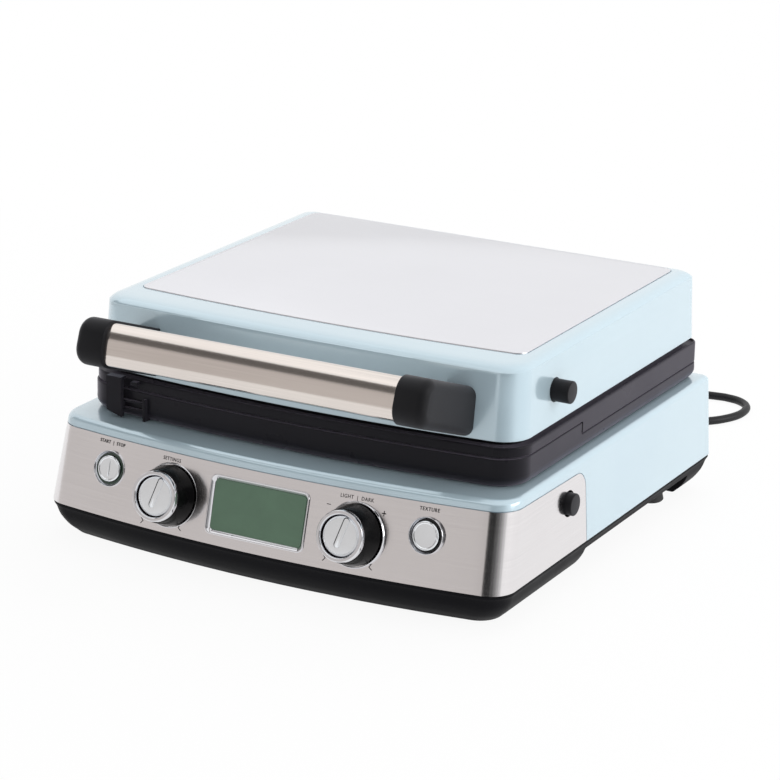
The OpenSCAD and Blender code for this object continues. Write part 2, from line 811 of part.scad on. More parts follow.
module hinge_arms() {
  color(charcoal) for (s = [-1, 1]) translate([s * hinge_x, 0, 0]) difference() {
    union() {
      across(-8, 8) {
        translate([hinge_y, hinge_z]) circle(8.5);
        polygon([[hinge_y - 8.5, hinge_z], [hinge_y + 8.5, hinge_z], [hinge_y + 6, 150], [hinge_y, 160],
          [lid_back, 160], [lid_back, 125.6], [lid_back + 2.4, 123.2], [lid_back + 2.4, 110]]);
      }
    }
    bar_x(-20, 20, hinge_y, hinge_z, pin_r + running);
    for (z = hinge_screw_z) translate([0, lid_back - 1, z]) rotate([-90, 0, 0]) cylinder(h = 13.6, r = 2.1);
  }
}

module hinge_screws() {
  color(steel) for (s = [-1, 1], z = hinge_screw_z)
    translate([s * hinge_x, lid_back, z]) rotate([-90, 0, 0]) {
      translate([0, 0, -lid_wall]) cylinder(h = 14, r = 2);
      translate([0, 0, -lid_wall - 2.3]) cylinder(h = 2.3, r = 4);
    }
}

// Lid --------------------------------------------------------------------------------------

module lid_shell() {
  color(blue) difference() {
    lid_form();
    lid_cavity();
    // The steel top's recess
    loft([
      lid_ring(lid_top_z - 1.8, 161.6, -98, 163.9, 7, 8, 8),
      lid_ring(lid_top_z + 3, 161.6, -98, 163.9, 7, 8, 8)]);
    release_bore(release_z[1], 9);
    for (s = [-1, 1], z = hinge_screw_z)
      translate([s * hinge_x, lid_back - 6, z]) rotate([-90, 0, 0]) cylinder(h = 12, r = 2.1);
    for (s = [-1, 1], at = handle_screw_at)
      translate([s * handle_screw_x, at[0], at[1]]) rotate([-90, 0, 0]) {
        translate([0, 0, -6]) cylinder(h = 12, r = 2.1);
        cylinder(h = 6, r = 4.6);
      }
  }
}

module lid_cavity() {
  loft([
    lid_ring(lid_z0 - 1, lid_hx, lid_front, lid_back, 11, lid_rf, lid_rb, lid_wall),
    lid_ring(146, lid_hx - 1.1, lid_front + 2.2, lid_back, 7.4, lid_rf - 1, lid_rb, lid_wall),
    lid_ring(168, lid_hx - 2.4, lid_front + 4, lid_back, 4, lid_rf - 2, lid_rb, lid_wall),
    lid_ring(lid_ceiling, lid_hx - 7, lid_front + 8.6, lid_back - 3, 4, lid_rf - 5, lid_rb, lid_wall)]);
}

module lid_plate() {
  color(steel) loft([
    lid_ring(lid_top_z - 1.8, 161.1, -97.5, 163.4, 7, 7.6, 7.6),
    lid_ring(lid_top_z - 0.3, 161.1, -97.5, 163.4, 7, 7.6, 7.6),
    lid_ring(lid_top_z, 160.8, -97.2, 163.1, 7, 7.4, 7.4)]);
}

module upper_tray() {
  color(charcoal) difference() {
    union() {
      difference() {
        union() {
          loft([tray_ring(split_rear, 0, 2), tray_ring(tray_top_z - 1, 0, 2), tray_ring(tray_top_z, 0.8, 2)]);
          loft([
            lid_ring(tray_top_z - 1, lid_hx, lid_front, lid_back, 11, lid_rf, lid_rb, 3),
            lid_ring(lid_z0, lid_hx, lid_front, lid_back, 11, lid_rf, lid_rb, 3)]);
        }
        loft([tray_ring(split_rear - 1, tray_wall, 2), tray_ring(upper_ledge_z, tray_wall, 2)]);
      }
      for (x = [-155, 155], y = [-118, 16, 150]) translate([x, y, parting_z + plate_gap + plate_t])
        cylinder(h = upper_ledge_z - parting_z - plate_gap - plate_t, r = 5);
      // The keeper that the storage lock slides over
      translate([lock_x + 12, -149.2, 118]) cube([6, 6.5, 2.6]);
    }
    // In front of the step the rim stops higher
    translate([-200, -250, split_rear - 10])
      cube([400, 250 + split_y + split_gap, split_front + 10 - split_rear]);
    translate([0, plate_y, upper_ledge_z - 2]) rounded_plate(134, 134, 10, 20);
    translate([142, release_y - 9, upper_ledge_z - 2]) cube([18, 18, 20]);
  }
}

module upper_reflector() {
  color(steel) translate([0, 0, 2 * parting_z]) mirror([0, 0, 1]) difference() {
    dish(reflector_z, 2 * parting_z - lid_z0);
    translate([0, plate_y, reflector_z]) feedthroughs();
  }
}

// Handle -------------------------------------------------------------------------------------

module on_arm() {
  translate([tube_y, tube_z]) rotate(-arm_tilt) children();
}

// Side view of an arm, from the round cap at the tube back into the lid's front
module arm_profile(inset) {
  on_arm() {
    for (s = [-1, 1]) translate([arm_r - arm_front, s * (arm_hh - arm_r)])
      circle(arm_r - inset, $fn = 48);
    polygon([
      [inset - arm_front, arm_r - arm_hh], [arm_r - arm_front, inset - arm_hh], [arm_len, inset - arm_hh],
      [arm_len, arm_hh - inset], [arm_r - arm_front, arm_hh - inset], [inset - arm_front, arm_hh - arm_r]]);
  }
}

module stadium(w, h) {
  for (s = [-1, 1]) translate([0, s * (h - w) / 2]) circle(w / 2);
  square([w, h - w], center = true);
}

module tube_profile(grow) {
  on_arm() stadium(tube_t + 2 * grow, tube_h + 2 * grow);
}

module handle_arms() {
  color(black) for (s = [0, 1]) mirror([s, 0, 0]) difference() {
    hull() for (a = [0:22.5:90])
      across(grip_w / 2, grip_w / 2 + arm_w - arm_round * (1 - sin(a)))
        arm_profile(arm_round * (1 - cos(a)));
    lid_form();
    across(grip_w / 2 - 1, grip_w / 2 + socket) tube_profile(0.05);
    translate([0, -170, 0]) cube([200, 60, lid_z0]);
    for (at = handle_screw_at)
      translate([handle_screw_x, at[0] - 16, at[1]]) rotate([-90, 0, 0]) cylinder(h = 18, r = 2.1);
  }
}

module handle_tube() {
  color(steel) difference() {
    across(-grip_w / 2 - socket + 0.5, grip_w / 2 + socket - 0.5) tube_profile(0);
    across(-200, 200) tube_profile(-1.2);
  }
}

module handle_screws() {
  color(steel) for (s = [-1, 1], at = handle_screw_at)
    translate([s * handle_screw_x, at[0], at[1]]) rotate([-90, 0, 0]) {
      translate([0, 0, -15]) cylinder(h = 15.5, r = 2);
      translate([0, 0, 0.2]) cylinder(h = 2.2, r = 4);
    }
}

// Controls that move ----------------------------------------------------------------------------

module knob_drum() {
  r = dial_d / 2;
  revolved([
    [4, 4], [r + 3.3, 2.4], [r + 3.6, 3.4], [r + 0.4, dial_out - 4], [r - 4.3, dial_out - 4],
    [r - 4.3, dial_out - 6], [4, dial_out - 6]]);
}

module knob_bezel() {
  r = dial_d / 2;
  revolved([
    [r - 4.3, dial_out - 4], [r + 0.1, dial_out - 4], [r, dial_out - 2.4], [r - 0.7, dial_out - 1.2],
    [r - 1.9, dial_out - 0.3], [r - 3, dial_out], [r - 3.8, dial_out - 0.3], [r - 4.3, dial_out - 1.1]]);
}

module knob_cap() {
  r = dial_d / 2;
  revolved([
    [0, dial_out - 6], [r - 4.3, dial_out - 6], [r - 4.3, dial_out - 1.4], [r - 4.7, dial_out - 1],
    [r - 5.2, dial_out - 1], [r - 5.5, dial_out - 1.4], [0, dial_out - 1.4]]);
  translate([-1.7, -6, dial_out - 1.4]) cube([3.4, 18.8, 1]);
  // The shaft that turns in the encoder's bush
  translate([0, 0, -6.5]) cylinder(h = dial_out + 0.5, r = shaft_r);
}

module push_button(r) {
  revolved([[0, -6.6], [3, -6.6], [3, -0.2], [r, -0.2], [r, 1.7], [r - 0.6, 2.3], [0, 2.3]]);
}

module settings_knob() { color(black) on_panel(-dial_x, dial_v) knob_drum(); }
module settings_bezel() { color(chrome) on_panel(-dial_x, dial_v) knob_bezel(); }
module settings_cap() { color(chrome) on_panel(-dial_x, dial_v) knob_cap(); }
module shade_knob() { color(black) on_panel(dial_x, dial_v) knob_drum(); }
module shade_bezel() { color(chrome) on_panel(dial_x, dial_v) knob_bezel(); }
module shade_cap() { color(chrome) on_panel(dial_x, dial_v) knob_cap(); }
module start_button() { color(chrome) on_panel(-start_x, button_v) push_button(9.6); }
module texture_button() { color(chrome) on_panel(texture_x, button_v) push_button(10.4); }

// Mains lead --------------------------------------------------------------------------------------

module cord_gland() {
  color(black) translate([gland_x, base_back - 6, gland_z]) rotate([-90, 0, 0])
    revolved([
      [0, 0], [8, 0], [8, 2.4], [6.9, 3], [6.9, 6], [10, 6], [10, 9], [8, 10.5], [5.2, 38],
      [cord_r, 40], [0, 40]]);
}

// A smooth line through the route's points, at even steps
function hermite(a, b, ta, tb, u) =
  let (u2 = u * u, u3 = u2 * u)
  (2 * u3 - 3 * u2 + 1) * a + (u3 - 2 * u2 + u) * ta + (3 * u2 - 2 * u3) * b + (u3 - u2) * tb;
function slope_at(i) =
  i == 0 ? [0, norm(route[1] - route[0]), 0]
  : i == len(route) - 1 ? [-norm(route[i] - route[i - 1]), 0, 0]
  : (route[i + 1] - route[i - 1]) / 2;
run_points = concat(
  [for (i = [0:len(route) - 2], u = [0, 0.5])
    hermite(route[i], route[i + 1], slope_at(i), slope_at(i + 1), u)],
  [route[len(route) - 1]]);

function coil_at(t) =
  let (
    a = 90 + 360 * t,
    r = coil_r - (cord_d + turn_gap) * (1.25 - abs(t - 1.25)),
    u = max(0, min(1, (t - 1) / 0.5)),
    z = tie_t + cord_r + (cord_d + layer_gap) * u * u * (3 - 2 * u))
  [coil_c[0] + r * cos(a), coil_c[1] + r * sin(a), z];
coil_loops = [for (i = [0:24 * coil_turns]) coil_at(i / 24)];
coil_end = coil_at(coil_turns);
coil_points = concat([route[len(route) - 1]], coil_loops, [coil_end + [0, -cord_d, 0]]);

module cord_run() {
  color(black) swept(run_points, cord_r, 8, [0, 1, 0], [-1, 0, 0]);
}

module cord_coil() {
  color(black) swept(coil_points, cord_r, 6, [-1, 0, 0], [0, -1, 0]);
}

function length_of(p) = len(p) < 2 ? 0 : sum([for (i = [1:len(p) - 1]) norm(p[i] - p[i - 1])]);
function sum(v, i = 0) = i >= len(v) ? 0 : v[i] + sum(v, i + 1);
self_gap = min([for (i = [0:len(coil_points) - 1], j = [i + 12:1:len(coil_points) - 1])
  norm(coil_points[i] - coil_points[j])]) - cord_d;
union() {  // cord_coil
  echo(least_gap_in_coil_mm = self_gap);
  echo(lead_length_mm = length_of(run_points) + length_of(coil_points));
}

// The strap that keeps the turns together
module cord_tie() {
  h = cord_d + layer_gap / 2 + tie_t;
  color(black) translate([coil_at(0.75)[0], coil_c[1] + 5, h]) rotate([90, 0, 0]) difference() {
    rounded_plate(5.3, h, 4, 10);
    translate([0, 0, -1]) rounded_plate(4.4, h - 0.9, 3.4, 12);
  }
}

module mains_plug() {
  color(black) translate([coil_end[0], coil_end[1] - cord_d, coil_end[2]]) rotate([90, 0, 0]) {
    revolved([[0, 0], [cord_r, 0], [3.7, 4], [4.6, 10], [6.2, 20], [7.4, 22], [8.6, 27], [8.6, 34], [0, 34]]);
    translate([0, 0, 26]) rounded_plate(13, 10.4, 6, 22);
    for (x = [-6.3, 6.3]) translate([x - 0.8, -1.6, 47]) cube([1.6, 6.4, 19]);
    translate([0, -5.6, 47]) cylinder(h = 20, r = 2.4);
  }
}

// ---------------------------------------------------------------------------------------------------

placed() base_pan();
placed() rubber_feet();
placed() pan_screws();
placed() base_housing();
placed() control_panel();
placed() lcd_bezel();
placed() lcd_glass();
placed() lcd_module();
placed() dial_collars();
placed() dial_encoders();
placed() button_rings();
placed() start_lens();
placed() texture_gasket();
placed() button_switches();
placed() control_boards();
placed() power_board();
placed() heat_shield();
placed() lower_tray();
placed() lower_reflector();
placed() lower_heater();
placed() lower_sensor();
placed() lower_waffle_plate();
placed() lower_plate_hooks();
placed() lower_release_guide();
placed() lower_release_spring();
placed() hinge_towers();
placed() hinge_pins();
placed() cord_gland();
placed() cord_run();
placed() cord_coil();
placed() cord_tie();
placed() mains_plug();
placed() lid_shell();
placed() lid_plate();
placed() upper_tray();
placed() upper_reflector();
placed() upper_heater();
placed() upper_sensor();
placed() upper_waffle_plate();
placed() upper_plate_hooks();
placed() upper_release_guide();
placed() upper_release_spring();
placed() handle_tube();
placed() handle_arms();
placed() handle_screws();
placed() hinge_arms();
placed() hinge_screws();
placed() settings_knob();
placed() settings_bezel();
placed() settings_cap();
placed() shade_knob();
placed() shade_bezel();
placed() shade_cap();
placed() start_button();
placed() texture_button();
placed() lower_release_button();
placed() upper_release_button();
placed() lid_lock();
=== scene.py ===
"""Looks for a countertop waffle maker: a pale blue lid and base, a brushed steel control panel and a tube handle.

Sizes are written in millimetres from the middle of the base, front towards -Y, as in the part's source.
at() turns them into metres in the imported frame.
"""

import math
from contextlib import contextmanager

import bmesh
import bpy
import numpy as np
from mathutils import Matrix, Vector


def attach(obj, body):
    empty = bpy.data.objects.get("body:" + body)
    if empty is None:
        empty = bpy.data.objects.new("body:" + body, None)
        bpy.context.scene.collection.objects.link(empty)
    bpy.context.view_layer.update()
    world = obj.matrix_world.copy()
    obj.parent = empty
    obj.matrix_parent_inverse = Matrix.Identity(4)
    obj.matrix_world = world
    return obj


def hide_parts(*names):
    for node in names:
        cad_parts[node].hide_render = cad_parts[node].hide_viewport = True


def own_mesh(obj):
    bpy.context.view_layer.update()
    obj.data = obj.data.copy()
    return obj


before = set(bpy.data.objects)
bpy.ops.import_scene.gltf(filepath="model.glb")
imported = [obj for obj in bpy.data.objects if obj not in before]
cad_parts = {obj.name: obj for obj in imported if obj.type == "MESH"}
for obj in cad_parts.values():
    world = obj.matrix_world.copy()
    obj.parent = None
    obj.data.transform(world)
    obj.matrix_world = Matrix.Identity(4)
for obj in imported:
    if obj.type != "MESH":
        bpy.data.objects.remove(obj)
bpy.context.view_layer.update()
scene = bpy.context.scene

# Measures shared with the part's source -------------------------------------------------------

MM = 0.001
BOX_Y = -0.6

PANEL_FOOT = 27.7
PANEL_TOP = 84.6
PANEL_LEAN = math.atan(15.4 / 56.9)
BASE_HALF = 192.5
BASE_FRONT = -181.0
FRONT_BOW = 16.2
DECK = 92.0

DIAL_X = 77.0
DIAL_V = 28.0
DIAL_R = 18.7
DIAL_OUT = 23.2
START_X = -134.2
TEXTURE_X = 130.6
BUTTON_V = 36.0
LCD_X = -2.2
LCD_V = 29.6
LCD_HALF = (38.5, 19.3)
LCD_GLASS = -1.9

RELEASE_Y = -76.0
RELEASE_Z = (65.0, 148.5)
PLATE_Y = 16.0

TRAY_WALL = 4.5
TRAY_GAP = 2
POST_PLACES = [(x, y) for x in (-155, 155) for y in (-118, 16, 150)]
NECK = (177.5, -135, 172, 11, 22, 7)

TUBE = (-198.6, 165.4)
TUBE_SIZE = (18.0, 31.5)
ARM_TILT = math.radians(-20)
GRIP_HALF = 119.0
SIDES = (-205, 205)


def at(x, y, z):
    """A point of the part's source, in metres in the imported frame."""
    return Vector((x, y + BOX_Y, z)) * MM


# Camera -----------------------------------------------------------------------------------------

CAMERA_PLACE = (1.04292, -1.91024, 0.8072)
CAMERA_TURN = (28.6123, 18.0867, 1.0388)
CAMERA_LENS = 138.49


def make_camera():
    """Stands where the photograph was taken from."""
    yaw, pitch, roll = (math.radians(a) for a in CAMERA_TURN)
    ahead = Vector((-math.sin(yaw) * math.cos(pitch), math.cos(yaw) * math.cos(pitch), -math.sin(pitch)))
    level = Vector((math.cos(yaw), math.sin(yaw), 0))
    above = level.cross(ahead)
    right = math.cos(roll) * level + math.sin(roll) * above
    up = math.cos(roll) * above - math.sin(roll) * level
    data = bpy.data.cameras.new("photo_camera")
    data.sensor_width = 36
    data.lens = CAMERA_LENS
    data.clip_start = 0.1
    data.clip_end = 100
    camera = placed("photo_camera", data)
    turn = Matrix((right, up, -ahead)).transposed().to_4x4()
    camera.matrix_world = Matrix.Translation(CAMERA_PLACE) @ turn
    scene.camera = camera


# Mains lead -------------------------------------------------------------------------------------

CORD_D = 6.8
COIL_MIDDLE = (38.0, 302.0)
COIL_R = 40.0
COIL_TURNS = 2.25
BEND = (121.5, 359.0, 27.0)


def lead_route():
    """The route's points, from the strain relief's tip to the start of the coil."""
    low = CORD_D / 2
    first = [(70, 215, 36), (70, 229, 35.2), (73, 244, 30.4), (80, 258, 22), (88.5, 271.5, 13), (98, 284.5, 6.6),
             (108, 296, 4), (118, 306, low), (128, 315, low), (137.5, 325, low), (144.5, 337, low), (148, 348, low)]
    bend = []
    for k in range(5):
        turn = math.radians(22.5 * k)
        bend.append((BEND[0] + BEND[2] * math.cos(turn), BEND[1] + BEND[2] * math.sin(turn), low))
    back = [(116.3, 386, low), (102, 383.3, low), (89.4, 375.6, low), (80.6, 364, low), (71.7, 352.4, low),
            (59, 344.6, low + 0.5), (COIL_MIDDLE[0] + CORD_D, COIL_MIDDLE[1] + COIL_R, low + 1)]
    return [Vector(p) for p in first + bend + back]


def smooth_route(route, steps):
    """A smooth line through the route's points."""
    last = len(route) - 1

    def slope(i):
        if i == 0:
            return Vector((0, (route[1] - route[0]).length, 0))
        if i == last:
            return Vector((-(route[last] - route[last - 1]).length, 0, 0))
        return (route[i + 1] - route[i - 1]) / 2

    line = []
    for i in range(last):
        for k in range(steps):
            u = k / steps
            line.append((2 * u**3 - 3 * u**2 + 1) * route[i] + (u**3 - 2 * u**2 + u) * slope(i)
                        + (3 * u**2 - 2 * u**3) * route[i + 1] + (u**3 - u**2) * slope(i + 1))
    return line + [route[last]]


def coil_point(turns):
    """A point of the put-away coil: two turns beside each other, then up onto the first."""
    angle = math.radians(90 + 360 * turns)
    radius = COIL_R - (CORD_D + 0.8) * (1.25 - abs(turns - 1.25))
    rise = max(0.0, min(1.0, (turns - 1) / 0.5))
    height = 1 + CORD_D / 2 + (CORD_D + 0.6) * rise * rise * (3 - 2 * rise)
    return Vector((COIL_MIDDLE[0] + radius * math.cos(angle), COIL_MIDDLE[1] + radius * math.sin(angle), height))


def lead_line():
    """The whole centreline of the lead in metres."""
    coil = [coil_point(i / 48) for i in range(int(48 * COIL_TURNS) + 1)]
    line = smooth_route(lead_route(), 4) + coil + [coil[-1] + Vector((0, -CORD_D, 0))]
    return [at(*p) for p in line]


def make_lead(material):
    """The free mains lead as a round curve that lies on the table behind the base."""
    line = lead_line()
    lead = wire_curve("mains_lead", line, CORD_D)
    lead.data.bevel_resolution = 5
    lead.data.splines[0].use_smooth = True
    lead.data.materials.append(material)
    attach(lead, "base")
    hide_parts("cord_run", "cord_coil")
    length = sum((b - a).length for a, b in zip(line, line[1:]))
    return lead, line, length


# Mesh tools -------------------------------------------------------------------------------------

def arc(middle, radius, start, end, steps):
    """Points of an arc in the plane, both ends included. Angles in degrees."""
    turns = [math.radians(start + (end - start) * i / steps) for i in range(steps + 1)]
    return [(middle[0] + radius * math.cos(a), middle[1] + radius * math.sin(a)) for a in turns]


def outline(half, front, back, bow, front_r, back_r, bow_steps=44, corner_steps=12):
    """A rectangle with four round corners whose front edge bows out, anticlockwise from above."""
    tilt = math.degrees(math.atan(2 * bow * (half - front_r) / half**2))
    edge_x = half - front_r * (1 - math.sin(math.radians(tilt)))
    edge_y = front - bow * (1 - (edge_x / half) ** 2)
    right = arc((half - front_r, edge_y + front_r * math.cos(math.radians(tilt))), front_r, tilt - 90, 0, corner_steps)
    right += arc((half - back_r, back - back_r), back_r, 0, 90, corner_steps)
    left = [(-x, y) for x, y in reversed(right)]
    edge = []
    for i in range(1, bow_steps):
        x = edge_x * (2 * i / bow_steps - 1)
        edge.append((x, front - bow * (1 - (x / half) ** 2)))
    return edge + right + left


def ring(z, points):
    return [(x, y, z) for x, y in points]


def base_ring(z, inset=0.0):
    up = z - PANEL_FOOT
    return ring(z, outline(BASE_HALF - 0.0586 * up - inset, BASE_FRONT + math.tan(PANEL_LEAN) * up + inset,
                           181 - inset, FRONT_BOW, 20 - inset / 2, 5 - inset / 2))


def pan_ring(z, drop, inset=0.0):
    return ring(z, outline(BASE_HALF - 1.3 * drop - inset, BASE_FRONT + drop + inset, 181 - drop - inset,
                           FRONT_BOW - drop / 8, 20 - drop / 4 - inset / 2, 5 + drop / 4 - inset / 2))


def tray_ring(z, inset=0.0, setback=0.0):
    return ring(z, outline(180.5 - inset, -141.5 + inset + setback, 174 - inset, 11, 24 - inset / 2, 9 - inset / 2))


def lid_ring(z, half, front, back, bow, front_r, back_r, inset=0.0):
    return ring(z, outline(half - inset, front + inset, back - inset, bow, front_r - inset / 2, back_r - inset / 2))


def eased(rows, steps):
    """Rows of numbers with smooth in-between rows, so that a few sections make a round shoulder."""
    made = []
    for i in range(len(rows) - 1):
        before, here, there, after = (np.array(rows[min(max(j, 0), len(rows) - 1)]) for j in range(i - 1, i + 3))
        for k in range(steps[i]):
            u = k / steps[i]
            made.append(here + 0.5 * u * (there - before + u * (2 * before - 5 * here + 4 * there - after
                                                               + u * (3 * (here - there) + after - before))))
    return [list(map(float, row)) for row in made] + [list(rows[-1])]


def placed(name, data):
    """A new object in the scene."""
    made = bpy.data.objects.new(name, data)
    scene.collection.objects.link(made)
    return made


def placed_mesh(name, verts, faces):
    mesh = bpy.data.meshes.new(name)
    mesh.from_pydata(verts, [], faces)
    mesh.validate()
    return placed(name, mesh)


def piece_from(name, verts, faces):
    """A mesh object in metres from points in source millimetres."""
    made = placed_mesh(name, [at(*v) for v in verts], faces)
    turn_faces_out(made)
    return made


@contextmanager
def editing(piece):
    """Opens a piece's mesh for editing and writes it back."""
    work = bmesh.new()
    work.from_mesh(piece.data)
    yield work
    work.to_mesh(piece.data)
    work.free()


def turn_faces_out(piece):
    with editing(piece) as work:
        bmesh.ops.recalc_face_normals(work, faces=work.faces)


def wire_curve(name, line, thickness):
    """A round wire along a line of points in metres."""
    data = bpy.data.curves.new(name, "CURVE")
    data.dimensions = "3D"
    data.bevel_depth = thickness / 2 * MM
    data.use_fill_caps = True
    spline = data.splines.new("POLY")
    spline.points.add(len(line) - 1)
    for point, place in zip(spline.points, line):
        point.co = (*place, 1)
    return placed(name, data)


def mesh_of(thing):
    bpy.context.view_layer.update()
    return bpy.data.meshes.new_from_object(thing.evaluated_get(bpy.context.evaluated_depsgraph_get()))


def as_mesh(name, thing):
    """Turns a curve or text into a mesh piece."""
    piece = placed(name, mesh_of(thing))
    bpy.data.objects.remove(thing)
    return piece


def loft(name, rings, capped=True):
    """A skin through rings of equal count. Its ends are closed, or the last ring meets the first."""
    count, last = len(rings[0]), len(rings) - 1
    faces = []
    for k in range(last if capped else last + 1):
        here, after = k * count, (k + 1) % (last + 1) * count
        for i in range(count):
            j = (i + 1) % count
            faces.append((here + i, here + j, after + j, after + i))
    if capped:
        faces.append(tuple(range(count)))
        faces.append(tuple(last * count + i for i in reversed(range(count))))
    return piece_from(name, [p for r in rings for p in r], faces)


def joined_ends(name, rings):
    """A ring-shaped skin, as in a frame or a hollow wall."""
    return loft(name, rings, capped=False)


def across(name, profile, x0, x1):
    """A side profile of (y, z) points carried across the width."""
    rings = [[(x, y, z) for y, z in profile] for x in (x0, x1)]
    return loft(name, rings)


def bar_x(name, x0, x1, y, z, radius, steps=64):
    return across(name, arc((y, z), radius, 0, 360 * (1 - 1 / steps), steps - 1), x0, x1)


def rounded_rectangle(half_x, half_y, radius, steps=8):
    corners = [(1, 1, 0), (-1, 1, 90), (-1, -1, 180), (1, -1, 270)]
    points = []
    for sx, sy, start in corners:
        points += arc((sx * (half_x - radius), sy * (half_y - radius)), radius, start, start + 90, steps)
    return points


def slab(name, half_x, half_y, radius, y, z0, z1):
    points = [(px, py + y) for px, py in rounded_rectangle(half_x, half_y, radius)]
    return loft(name, [ring(z0, points), ring(z1, points)])


def filleted(points, radii, steps=4, closed=False):
    """A profile with each corner rounded by its own radius."""
    made = []
    count = len(points)
    for i, (here, radius) in enumerate(zip(points, radii)):
        if radius <= 0 or (not closed and i in (0, count - 1)):
            made.append(here)
            continue
        p = Vector(here)
        a = (Vector(points[i - 1]) - p)
        b = (Vector(points[(i + 1) % count]) - p)
        half = a.angle(b) / 2
        reach = min(radius / math.tan(half), 0.49 * a.length, 0.49 * b.length)
        a, b = p + a.normalized() * reach, p + b.normalized() * reach
        for k in range(steps + 1):
            u = k / steps
            q = (1 - u) ** 2 * a + 2 * u * (1 - u) * p + u * u * b
            made.append((q.x, q.y))
    return made


def panel_point(x, v):
    """A point of the bowed, leaning panel: x across it and v up its slope."""
    return (x, BASE_FRONT + v * math.sin(PANEL_LEAN) - FRONT_BOW * (1 - (x / BASE_HALF) ** 2),
            PANEL_FOOT + v * math.cos(PANEL_LEAN))


def on_panel(x, v):
    """Where a control sits: its axis stands square to the leaning panel, and its own +Y runs up the slope."""
    return Matrix.Translation(panel_point(x, v)) @ Matrix.Rotation(math.pi / 2 - PANEL_LEAN, 4, "X")


def lathe(name, profile, place, closed=False, steps=96):
    """A profile of (radius, height) turned round a control's axis."""
    verts, starts = [], []
    for radius, height in profile:
        starts.append(len(verts))
        turns = steps if radius > 1e-6 else 1
        for i in range(turns):
            angle = 2 * math.pi * i / steps
            verts.append(place @ Vector((radius * math.cos(angle), radius * math.sin(angle), height)))
    faces = []
    pairs = list(zip(range(len(profile)), range(1, len(profile))))
    if closed:
        pairs.append((len(profile) - 1, 0))
    for a, b in pairs:
        single_a, single_b = profile[a][0] <= 1e-6, profile[b][0] <= 1e-6
        for i in range(steps):
            j = (i + 1) % steps
            low = [starts[a]] if single_a else [starts[a] + i, starts[a] + j]
            high = [starts[b]] if single_b else [starts[b] + j, starts[b] + i]
            if len(low) + len(high) > 2:
                faces.append(tuple(low + high))
    return piece_from(name, verts, faces)


def upright(name, profile, places):
    """Small turned forms that stand upright at some places."""
    return [lathe(name, profile, Matrix.Translation((x, y, 0)), steps=32) for x, y in places]


def settle(piece):
    """Turns a piece's modifiers into its mesh."""
    mesh = mesh_of(piece)
    mesh.name = piece.name
    piece.modifiers.clear()
    piece.data = mesh
    return piece


def carved(piece, tools, operation="DIFFERENCE"):
    """A piece with other solids cut from it, joined to it or shared with it. The other solids go away."""
    for tool in tools:
        cut = piece.modifiers.new("cut", "BOOLEAN")
        cut.operation = operation
        cut.solver = "EXACT"
        cut.object = tool
    settle(piece)
    for tool in tools:
        bpy.data.objects.remove(tool)
    return piece


def softened(piece, width, segments=2, angle=40):
    """Small round edges, as moulding and pressing leave them."""
    merge_close(piece)
    bevel = piece.modifiers.new("edges", "BEVEL")
    bevel.width = width * MM
    bevel.segments = segments
    bevel.limit_method = "ANGLE"
    bevel.angle_limit = math.radians(angle)
    bevel.use_clamp_overlap = False
    bevel.miter_outer = "MITER_ARC"
    settle(piece)
    return piece


def merge_close(piece, distance=0.004, flat=0.6):
    """Joins doubled points and melts flat neighbouring faces together before edges are rounded."""
    with editing(piece) as work:
        bmesh.ops.remove_doubles(work, verts=work.verts, dist=distance * MM)
        bmesh.ops.dissolve_limit(work, angle_limit=math.radians(flat), verts=work.verts, edges=work.edges)


def shade(piece, sharp=35, weighted=False):
    """Smooth shading that breaks at real edges."""
    piece.data.shade_smooth()
    piece.data.set_sharp_from_angle(angle=math.radians(sharp))
    if weighted:
        even = piece.modifiers.new("even_shading", "WEIGHTED_NORMAL")
        even.keep_sharp = True
        settle(piece)
    return piece


def dress(piece, body, material, slot, *nodes):
    """Gives a finished piece its finish, its body and the CAD nodes that it stands for."""
    piece.data.materials.clear()
    piece.data.materials.append(material)
    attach(piece, body)
    if nodes:
        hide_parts(*nodes)
    return piece


def eased_copy(node, name, width, segments=2, angle=35):
    """A copy of a CAD node's shape with its hard edges rounded a little."""
    piece = placed(name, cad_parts[node].data.copy())
    if piece.data.has_custom_normals:
        work = bmesh.new()
        work.from_mesh(piece.data)
        plain = bpy.data.meshes.new(name)
        work.to_mesh(plain)
        work.free()
        piece.data = plain
    softened(piece, width, segments, angle)
    return shade(piece, 50, weighted=True)


# Node tools -------------------------------------------------------------------------------------

def feed(tree, node, sockets):
    """Gives a node's sockets numbers, colours or the outputs of other nodes."""
    for key, value in sockets.items():
        if isinstance(value, bpy.types.NodeSocket):
            tree.links.new(value, node.inputs[key])
        else:
            node.inputs[key].default_value = value


def add(tree, kind, sockets=None, **settings):
    """A shader node with its own properties and sockets set."""
    made = tree.nodes.new("ShaderNode" + kind)
    for key, value in settings.items():
        setattr(made, key, value)
    feed(tree, made, sockets or {})
    return made


def sum_of(tree, operation, *values):
    """The result of a small sum on values of the surface."""
    return add(tree, "Math", dict(enumerate(values)), operation=operation).outputs[0]


def noise(tree, place, scale, detail, **more):
    sockets = {"Vector": place, "Scale": scale, "Detail": detail, **more}
    return add(tree, "TexNoise", sockets).outputs["Fac"]


def new_group(name, inputs, outputs):
    """An empty node group with named sockets. Inputs are (name, kind, default)."""
    tree = bpy.data.node_groups.new(name, "ShaderNodeTree")
    for label, kind, default in inputs:
        made = tree.interface.new_socket(label, in_out="INPUT", socket_type="NodeSocket" + kind)
        if default is not None:
            made.default_value = default
    for label in outputs:
        tree.interface.new_socket(label, in_out="OUTPUT", socket_type="NodeSocketFloat")
    return tree, tree.nodes.new("NodeGroupInput").outputs, tree.nodes.new("NodeGroupOutput")


def place_group(tree, group, place, **values):
    """Puts a node group into a material with its own values. Underscores in names stand for spaces."""
    sockets = {key.replace("_", " "): value for key, value in values.items()}
    return add(tree, "Group", {"Place": place, **sockets}, node_tree=group).outputs


